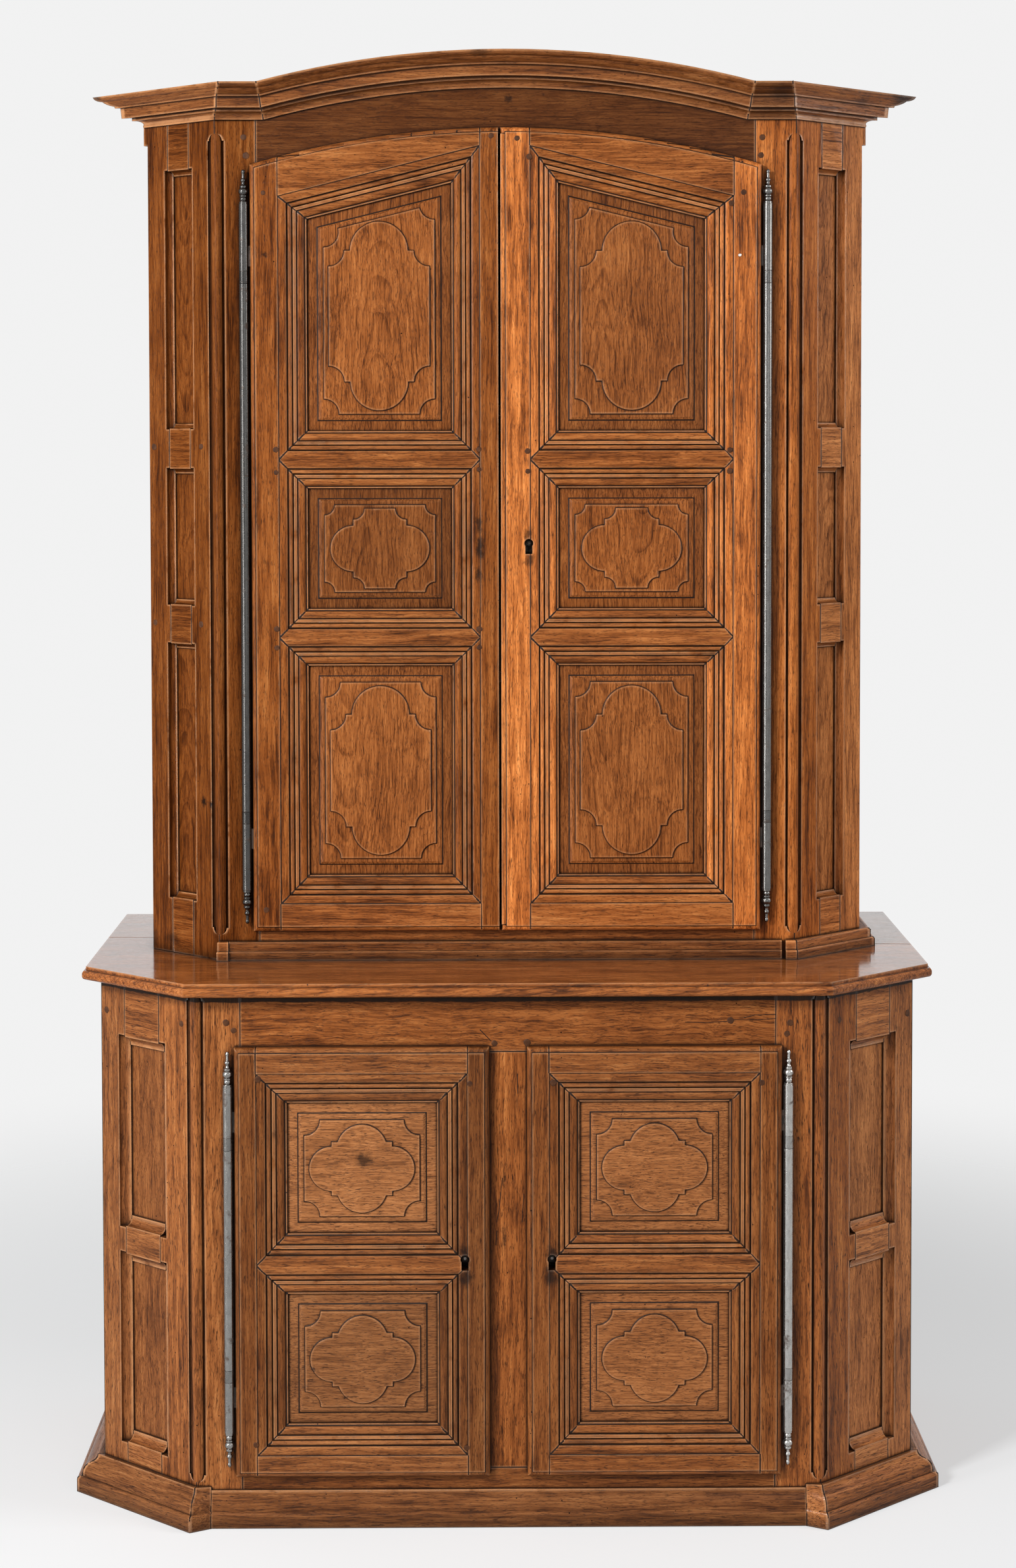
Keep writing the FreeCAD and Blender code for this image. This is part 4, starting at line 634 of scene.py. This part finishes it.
plain = walnut("walnut")
polished = walnut("walnut_polished", rough=POLISHED_ROUGH)
rod = iron("polished_rod", (0.105, 0.102, 0.097), 0.24)
dark_iron = iron("dark_iron", (0.16, 0.14, 0.125), 0.48)
for name, obj in sorted(nodes.items()):
    if obj.data.materials[0].name.startswith("iron"):
        mark_iron(name, obj)
        obj.material_slots[0].material = rod if "hinge" in name else dark_iron
        continue
    mark_boards(name, obj)
    # Nodes with marks, or with the painted shadow under the board, get a material of their own
    if name in MARKS or name in SHADED_UNDER_BOARD:
        shadow_height = BOARD_SHADOW_HEIGHT if name in SHADED_UNDER_BOARD else None
        obj.material_slots[0].material = walnut("walnut_" + name, MARKS.get(name, ()), shadow_height=shadow_height)
    else:
        obj.material_slots[0].material = polished if "board" in name else plain
    for ending, width in SOFT_ARRIS.items():
        if name.endswith(ending):
            soften(obj, width)


# Pegs of the joints

PEG_SIDES = 14
PEG_SHANK = 0.003
PEG_RIM = 0.0001
PEG_DOME = 0.0006


def add_peg(bm, centre, normal, radius, rng, dome=PEG_DOME):
    """One hand-cut peg: an uneven ring, a chamfer and a low dome; its shank goes into the wood."""
    normal = normal.normalized()
    side = normal.cross(Z).normalized()
    up = side.cross(normal)
    turn = rng.random() * math.tau
    reach = [radius * rng.uniform(0.90, 1.06) for _ in range(PEG_SIDES)]
    rings = []
    for height, share in ((-PEG_SHANK, 1.0), (PEG_RIM, 1.0), (dome * 0.75, 0.86), (dome, 0.5)):
        ring = []
        for i in range(PEG_SIDES):
            angle = turn + math.tau * i / PEG_SIDES
            offset = (side * math.cos(angle) + up * math.sin(angle)) * reach[i] * share
            ring.append(bm.verts.new(centre + offset + normal * height))
        rings.append(ring)
    for low, high in zip(rings, rings[1:]):
        for i in range(PEG_SIDES):
            j = (i + 1) % PEG_SIDES
            bm.faces.new((low[i], low[j], high[j], high[i]))
    bm.faces.new(rings[-1])
    bm.faces.new(list(reversed(rings[0])))


def piece(name, bm, material, body, smooth=True):
    """A small piece of its own that rides on a body."""
    bmesh.ops.recalc_face_normals(bm, faces=bm.faces)
    mesh = bpy.data.meshes.new(name)
    bm.to_mesh(mesh)
    bm.free()
    mesh.materials.append(material)
    if smooth:
        mesh.shade_smooth()
    obj = bpy.data.objects.new(name, mesh)
    scene.collection.objects.link(obj)
    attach(obj, body)
    return obj


# Places of the pegs in millimetres: on the fronts of the doors by X and Z, on the case by all three
UPPER_DOOR_Y, LOWER_DOOR_Y = -129.5, -291.5
UPPER_CASE_Y, LOWER_CASE_Y = -113, -275
PEG_RADIUS = {"case": 0.0050, "upper_left_door": 0.0042, "upper_right_door": 0.0042,
              "lower_left_door": 0.0046, "lower_right_door": 0.0046}
PEGS = {
    "upper_left_door": [(x, UPPER_DOOR_Y, z, FRONT) for x, z in (
        (-382, 2071), (-364, 1667), (-364, 1631), (-43, 1667), (-43, 1635), (-364, 1383), (-364, 1353),
        (-43, 1382), (-43, 1353), (-383, 935), (-23, 2160))],
    "upper_right_door": [(x, UPPER_DOOR_Y, z, FRONT) for x, z in (
        (18, 2156), (37, 2127), (34, 1664), (34, 1632), (354, 1665), (354, 1632), (375, 2071), (356, 2054))],
    "lower_left_door": [(x, LOWER_DOOR_Y, z, FRONT) for x, z in (
        (-384, 702), (-59, 694), (-390, 133), (-65, 127))],
    "lower_right_door": [(x, LOWER_DOOR_Y, z, FRONT) for x, z in ((69, 695), (390, 694))],
    "case": [
        (-414, UPPER_CASE_Y, 2160, FRONT), (-410, UPPER_CASE_Y, 2131, FRONT),
        (406, UPPER_CASE_Y, 2159, FRONT), (404, UPPER_CASE_Y, 2131, FRONT),
        (-569.8, -20.9, 1672, LEFT_CANT), (-486.4, -90.8, 1672, LEFT_CANT),
        (-569.8, -20.9, 1387, LEFT_CANT), (-488.5, -89.1, 1388, LEFT_CANT),
        (-635.5, -147.9, 780, LEFT_CANT), (-504.7, -257.6, 781, LEFT_CANT),
        (-434, LOWER_CASE_Y, 786, FRONT), (-422, LOWER_CASE_Y, 774, FRONT),
        (435, LOWER_CASE_Y, 783, FRONT), (430, LOWER_CASE_Y, 766, FRONT),
        (514, -249.8, 782, RIGHT_CANT), (636, -147.5, 770, RIGHT_CANT),
        (-20.9, LOWER_CASE_Y, 752.7, FRONT), (29.3, LOWER_CASE_Y, 753.8, FRONT),
        (342.8, LOWER_CASE_Y, 786.9, FRONT)],
}
peg_wood = end_grain("peg_end_grain")
for body, places in PEGS.items():
    bm = bmesh.new()
    rng = random.Random("pegs of " + body)
    for x, y, z, normal in places:
        add_peg(bm, metres(x, y, z), normal, PEG_RADIUS[body] * rng.uniform(0.9, 1.15), rng)
    piece(body + "_pegs", bm, peg_wood, body, smooth=False)


# Dark wax: thin fillets where two boards of a body lie flush side by side, and bands of dark wax and painted
# shade in the hollow corners

NO_AREA = 1e-14
# Joints: cosine of the turn under which an edge is sharp, distance at which two solids touch, how far to
# probe for wood beside the edge, the shortest line, the most downward look, and the share that makes a slant
SHARP_TURN = 0.94
TOUCH = 0.0002
JOINT_PROBE = 0.0006
SHORTEST_JOINT = 0.0004
LOWEST_LOOK = -0.5
SLANT = 0.3
# Hollow corners: cosine of the turn, rise of the wall over the flat, look of both faces to the front, most
# of the edge's run in depth, and how far to probe for wood that fills the corner
HOLLOW_TURN = 0.9
HOLLOW_DEPTH = 1e-7
HOLLOW_FRONT = -0.35
HOLLOW_RUN = 0.5
HOLLOW_PROBE = 0.0008
BOX_MARGIN = 1e-5
# Half widths of the fillets on mitres, on other joints and on cracks, and the width of the bands of wax and
# painted shade
MITRE_WAX, JOINT_WAX, CRACK_WAX, HOLLOW_SHADE_BAND = 0.0012, 0.0009, 0.0006, 0.0012


def solid_parts(body):
    """Corner points of the faces, and the box, of every wooden solid on a body."""
    parts = []
    for name in frame["record"]["behaviour"]["bodies"][body]:
        mesh = nodes[name].data
        if "grain" not in mesh.attributes:
            continue
        for group in solids_of(mesh):
            faces = [[mesh.vertices[i].co.copy() for i in mesh.polygons[p].vertices] for p in group]
            parts.append((faces, *box_of(mesh, group)))
    return parts


def edge_sides(faces):
    """Each edge of a solid, with the normal and the middle of both of its faces."""
    sides = {}
    for corners in faces:
        normal = (corners[1] - corners[0]).cross(corners[2] - corners[0])
        if normal.length < NO_AREA:
            continue
        side = normal.normalized(), sum(corners, Vector()) / len(corners)
        keys = [key_of(corner) for corner in corners]
        for a, b in zip(keys, keys[1:] + keys[:1]):
            if a != b:
                sides.setdefault((min(a, b), max(a, b)), []).append(side)
    return [(a, b, pair) for (a, b), pair in sides.items() if len(pair) == 2]


def within(tree, point):
    near, normal, _, _ = tree.find_nearest(point)
    return (point - near).dot(normal) < 0


def trees_of(parts):
    """A search tree of each solid and the numbers of the solids beside it."""
    trees, beside = [], []
    for faces, low, high in parts:
        points = [corner for corners in faces for corner in corners]
        triangles = [(3 * i, 3 * i + 1, 3 * i + 2) for i in range(len(faces))]
        trees.append(BVHTree.FromPolygons(points, triangles))
        beside.append([j for j, (_, lo, hi) in enumerate(parts) if lo != low or hi != high
                       if all(low[k] < hi[k] + TOUCH and lo[k] < high[k] + TOUCH for k in range(3))])
    return trees, beside


def joint_lines(parts, trees, beside):
    """Lines on which two solids of a body meet flush, with the direction out of the wood."""
    found = {}
    for (faces, _, _), others in zip(parts, beside):
        for start, end, ((one, _), (two, _)) in edge_sides(faces):
            if one.dot(two) >= SHARP_TURN:
                continue
            a, b = Vector(start), Vector(end)
            middle = (a + b) / 2
            for tree in (trees[j] for j in others):
                if tree.find_nearest(middle, TOUCH)[0] is None:
                    continue
                for shut, out in ((one, two), (two, one)):
                    in_wood = within(tree, middle + (shut - out) * JOINT_PROBE)
                    if in_wood and not within(tree, middle + (shut + out) * JOINT_PROBE):
                        found.setdefault(tuple(round(c, 4) for c in middle), (a, b, out))
    return list(found.values())


def hollow_lines(parts, trees, beside):
    """Edges in which two faces of a solid meet in an open hollow on the front, with both normals and runs."""
    for (faces, _, _), others in zip(parts, beside):
        for a, b, sides in edge_sides(faces):
            (flat, here), (wall, there) = sorted(sides, key=lambda side: side[0].y)
            start, run = Vector(a), (Vector(b) - Vector(a)).normalized()
            if flat.dot(wall) > HOLLOW_TURN or (there - here).dot(flat) < HOLLOW_DEPTH:
                continue
            if (flat + wall).y > HOLLOW_FRONT or abs(run.y) > HOLLOW_RUN:
                continue
            probe = (start + Vector(b)) / 2 + (flat + wall) * HOLLOW_PROBE
            if any(within(trees[j], probe) for j in others):
                continue
            runs = [normal.cross(run) for normal in (flat, wall)]
            runs = [r if r.dot(centre - start) > 0 else -r for r, centre in zip(runs, (here, there))]
            yield a, b, flat, wall, runs


def mitre(runs):
    """The offset that keeps its distance from both of two edges that meet."""
    total = sum(runs, Vector())
    if len(runs) == 2 and runs[0].dot(runs[1]) > -0.5:
        return total / (1 + runs[0].dot(runs[1]))
    return total.normalized()


def in_box(point):
    """The point, drawn back into the box of the CAD model."""
    low, high = cad_box
    return Vector([min(max(point[k], low[k] + BOX_MARGIN), high[k] - BOX_MARGIN) for k in range(3)])


def add_hollow_shade_and_wax(bm, edges, width, rng):
    """Dark wax and painted shade in hollow corners: a three-sided band; edges that follow each other share
    its rings.
    """
    ends = {}
    for a, b, flat, wall, runs in edges:
        for key in (a, b):
            ends.setdefault(key, []).append((flat, wall, *runs))
    rings = {}
    for key, sides in ends.items():
        wide = width * rng.uniform(0.8, 1.2)
        flat, wall = (sum((side[k] for side in sides), Vector()).normalized() for k in (0, 1))
        foot, top = (mitre([side[k] for side in sides]) for k in (2, 3))
        offsets = foot * wide + flat * 0.0002, top * wide * 0.7 + wall * 0.0002, (flat + wall) * -0.0003
        rings[key] = [bm.verts.new(in_box(Vector(key) + offset)) for offset in offsets]
    for a, b, *_ in edges:
        for i in range(3):
            bm.faces.new((rings[a][i], rings[a][(i + 1) % 3], rings[b][(i + 1) % 3], rings[b][i]))
    for key, sides in ends.items():
        if len(sides) == 1:
            bm.faces.new(rings[key])


def add_fillet(bm, a, b, out, width, rng):
    """A closed thin fillet of wax from a to b, mostly sunk in the joint."""
    run = (b - a).normalized()
    side = run.cross(out).normalized()
    rings = []
    for point in (a - run * width * 0.3, b + run * width * 0.3):
        wide = width * rng.uniform(0.75, 1.25)
        offsets = side * wide, out * 0.0003, side * -wide, out * -0.0005
        rings.append([bm.verts.new(in_box(point + offset)) for offset in offsets])
    for i in range(4):
        bm.faces.new((rings[0][i], rings[0][(i + 1) % 4], rings[1][(i + 1) % 4], rings[1][i]))
    bm.faces.new(rings[1])
    bm.faces.new(list(reversed(rings[0])))


joint_wax = end_grain("joint_wax", 0.22)
for body in sorted(frame["bodies"]):
    if body != "case" and not body.endswith("_door"):
        continue
    parts = solid_parts(body)
    trees, beside = trees_of(parts)
    bm = bmesh.new()
    rng = random.Random("joints of " + body)
    for a, b, out in joint_lines(parts, trees, beside):
        line = b - a
        if line.length > SHORTEST_JOINT and out.z > LOWEST_LOOK:
            slanted = min(abs(line.x), abs(line.z)) > SLANT * line.length
            add_fillet(bm, a, b, out, MITRE_WAX if slanted else JOINT_WAX, rng)
    piece(body + "_joint_wax", bm, joint_wax, body, smooth=False)
    if body == "case":
        continue
    # Bands of dark wax and painted shade in the hollow corners of the doors
    bm = bmesh.new()
    rng = random.Random("hollows of " + body)
    add_hollow_shade_and_wax(bm, list(hollow_lines(parts, trees, beside)), HOLLOW_SHADE_BAND, rng)
    piece(body + "_hollow_shade_and_wax", bm, joint_wax, body, smooth=False)


# Cracks of the lower front, by X and Z in millimetres: dried wood has opened along its fibres

CRACKS = {
    "lower_top_rail": [
        [(272.9, 784.6), (303.4, 783.9), (336.9, 785.3)],
        [(348.1, 787.8), (380.6, 787.7), (411.5, 789.6)],
        [(363.9, 791.0), (380.6, 795.2), (411.5, 796.2)],
        [(-43.1, 773.9), (-26.0, 756.0)]],
    "lower_muntin": [
        [(14.6, 705.1), (14.4, 689.7), (15.0, 674.4)],
        [(-9.1, 543.1), (-11.7, 520.5), (-14.9, 489.7), (-17.9, 474.3)],
        [(23.8, 518.3), (22.3, 494.7), (21.3, 474.1)],
        [(-18.0, 460.9), (-19.5, 438.3)]],
}
for name, cracks in CRACKS.items():
    bm = bmesh.new()
    rng = random.Random("cracks of " + name)
    for crack in cracks:
        points = [metres(x, LOWER_CASE_Y, z) for x, z in crack]
        for a, b in zip(points, points[1:]):
            add_fillet(bm, a, b, FRONT, CRACK_WAX, rng)
    piece(name + "_cracks", bm, joint_wax, "case", smooth=False)


# Lock pipes: a worn tube round the key pin shows in each keyhole

PIPE_INNER, PIPE_OUTER, PIPE_LENGTH = 0.00215, 0.0040, 0.0068
PIPE_SETBACK = 0.0028
PIPE_TONE = (3.0, 0.2, 0.3)
TUBE_SIDES = 24
RIM_STEPS = 6


def add_tube(bm, centre, inner, outer, length):
    """A closed tube wall round the Y axis with a rounded front rim."""
    rim = (outer - inner) / 2
    profile = [(inner, length), (inner, rim)]
    for k in range(1, RIM_STEPS):
        turn = math.pi * k / RIM_STEPS
        profile.append(((inner + outer) / 2 - rim * math.cos(turn), rim - rim * math.sin(turn)))
    profile += [(outer, rim), (outer, length)]
    rings = []
    for i in range(TUBE_SIDES):
        angle = math.tau * i / TUBE_SIDES
        offsets = [Vector((r * math.cos(angle), y, r * math.sin(angle))) for r, y in profile]
        rings.append([bm.verts.new(centre + offset) for offset in offsets])
    for i in range(TUBE_SIDES):
        one, two = rings[i], rings[(i + 1) % TUBE_SIDES]
        for k in range(len(profile)):
            m = (k + 1) % len(profile)
            bm.faces.new((one[k], one[m], two[m], two[k]))


bright_iron = iron("worn_lock_iron", (0.34, 0.32, 0.29), 0.24)
for door in ("lower_left", "lower_right", "upper_right"):
    mesh = nodes[door + "_lock_case"].data
    front = min(v.co.y for v in mesh.vertices)
    tip = [v.co for v in mesh.vertices if v.co.y < front + 1e-4]
    centre = sum(tip, Vector()) / len(tip)
    bm = bmesh.new()
    start = Vector((centre.x, front + PIPE_SETBACK, centre.z))
    add_tube(bm, start, PIPE_INNER, PIPE_OUTER, PIPE_LENGTH)
    pipe = piece(door + "_lock_pipe", bm, bright_iron, door + "_door")
    set_faces(pipe.data, "tone", [PIPE_TONE] * len(pipe.data.polygons))

# A steel pin beside the right upper rod
PIN_PLACE = Vector((0.3692, -0.1295, 1.9724))
PIN_RADIUS, PIN_DOME = 0.0028, 0.0012
PIN_TONE = (5.0, 2.4, 0.1)
bm = bmesh.new()
add_peg(bm, PIN_PLACE, FRONT, PIN_RADIUS, random.Random("pin"), dome=PIN_DOME)
pin = piece("upper_right_door_pin", bm, bright_iron, "upper_right_door")
set_faces(pin.data, "tone", [PIN_TONE] * len(pin.data.polygons))


# Floor, light and camera

FLOOR_SIDES, FLOOR_RADII, FLOOR_LEVEL = 64, (1.0, 2.0, 3.0, 4.0), -0.0005
FLOOR_COLOUR = (0.545, 0.560, 0.570, 1)
FLOOR_GLOW = 0.41
FADE_START, FADE_END = 1.1, 2.8
WHITE = (1, 1, 1, 1)
AMBIENT, BACKDROP = 0.18, 0.885


def seen_ray(t):
    """1 for rays that show the backdrop to the camera, also by a mirror or through glass."""
    path = t.nodes.new("ShaderNodeLightPath")
    seen = t.math("MAXIMUM", path.outputs["Is Camera Ray"], path.outputs["Is Glossy Ray"])
    return t.math("MAXIMUM", seen, path.outputs["Is Transmission Ray"])


def floor():
    """A pale disc that fades out into the backdrop."""
    bm = bmesh.new()
    centre = bm.verts.new((0, 0, 0))
    last = None
    angles = [math.tau * i / FLOOR_SIDES for i in range(FLOOR_SIDES)]
    for radius in FLOOR_RADII:
        ring = [bm.verts.new((radius * math.cos(angle), radius * math.sin(angle), 0)) for angle in angles]
        for i in range(FLOOR_SIDES):
            j = (i + 1) % FLOOR_SIDES
            if last is None:
                bm.faces.new((centre, ring[i], ring[j]))
            else:
                bm.faces.new((last[i], ring[i], ring[j], last[j]))
        last = ring
    mesh = bpy.data.meshes.new("floor")
    bm.to_mesh(mesh)
    bm.free()
    obj = bpy.data.objects.new("floor", mesh)
    obj.location.z = FLOOR_LEVEL
    scene.collection.objects.link(obj)
    t = Tree(bpy.data.materials.new("pale_floor"))
    shader = t.shader()
    t.put(shader["Base Color"], FLOOR_COLOUR)
    t.put(shader["Roughness"], 0.9)
    t.put(shader["Specular IOR Level"], 0.1)
    t.put(shader["Emission Color"], WHITE)
    t.put(shader["Emission Strength"], t.span(seen_ray(t), 0.0, 1.0, 0.0, FLOOR_GLOW, smooth=False))
    far = t.span(t.vector("LENGTH", t.place()), FADE_START, FADE_END)
    clear = t.node("BsdfTransparent")
    both = t.node("MixShader", 0, [far, t.nodes["Principled BSDF"].outputs[0], clear])
    t.put(t.nodes["Material Output"].inputs["Surface"], both)
    mesh.materials.append(t.owner)


def lamp(name, place, target, power, width, height):
    data = bpy.data.lights.new(name, "AREA")
    data.shape = "RECTANGLE"
    data.size, data.size_y = width, height
    data.energy = power
    obj = bpy.data.objects.new(name, data)
    obj.location = place
    obj.rotation_mode = "QUATERNION"
    obj.rotation_quaternion = (Vector(target) - Vector(place)).to_track_quat("-Z", "Y")
    scene.collection.objects.link(obj)


def world():
    """White where the camera sees it, and a weak even light for all other rays."""
    made = bpy.data.worlds.new("studio")
    t = Tree(made)
    back = t.nodes["Background"].inputs
    t.put(back["Color"], WHITE)
    t.put(back["Strength"], t.span(seen_ray(t), 0.0, 1.0, AMBIENT, BACKDROP, smooth=False))
    scene.world = made


floor()
world()
lamp("key", (-2.7, -3.4, 3.3), (0, -0.2, 1.25), 165, 0.8, 0.8)
lamp("strip", (-2.9, -2.6, 1.3), (0, -0.2, 1.2), 58, 0.4, 2.2)
lamp("fill", (1.4, -4.2, 1.9), (0, -0.2, 1.2), 14, 1.8, 1.8)
lamp("side", (3.4, -1.0, 2.6), (0.5, -0.1, 1.1), 48, 1.4, 1.6)

# The camera fitted to the photograph: its picture rows and focal length are in the photograph's pixels
PHOTO_HEIGHT, AXIS_ROW, FOCAL_PIXELS = 2380, 851, 3988
SENSOR = 36
EYE = (-0.0295, -4.2875, 1.6598)
PITCH, YAW, ROLL = 2.33, 0.44, -0.11

scene.view_settings.view_transform = "Standard"
camera = bpy.data.cameras.new("camera")
camera.lens = FOCAL_PIXELS / PHOTO_HEIGHT * SENSOR
camera.sensor_width = SENSOR
camera.shift_y = (AXIS_ROW - PHOTO_HEIGHT / 2) / PHOTO_HEIGHT
eye = bpy.data.objects.new("camera", camera)
scene.collection.objects.link(eye)
pitch, yaw, roll = (math.radians(angle) for angle in (PITCH, YAW, ROLL))
ahead = Vector((math.sin(yaw) * math.cos(pitch), math.cos(yaw) * math.cos(pitch), -math.sin(pitch)))
level = Vector((math.cos(yaw), -math.sin(yaw), 0))
upright = level.cross(ahead)
right = level * math.cos(roll) + upright * math.sin(roll)
above = upright * math.cos(roll) - level * math.sin(roll)
eye.matrix_world = Matrix.Translation(EYE) @ Matrix((right, above, -ahead)).transposed().to_4x4()
scene.camera = eye

bpy.context.view_layer.update()
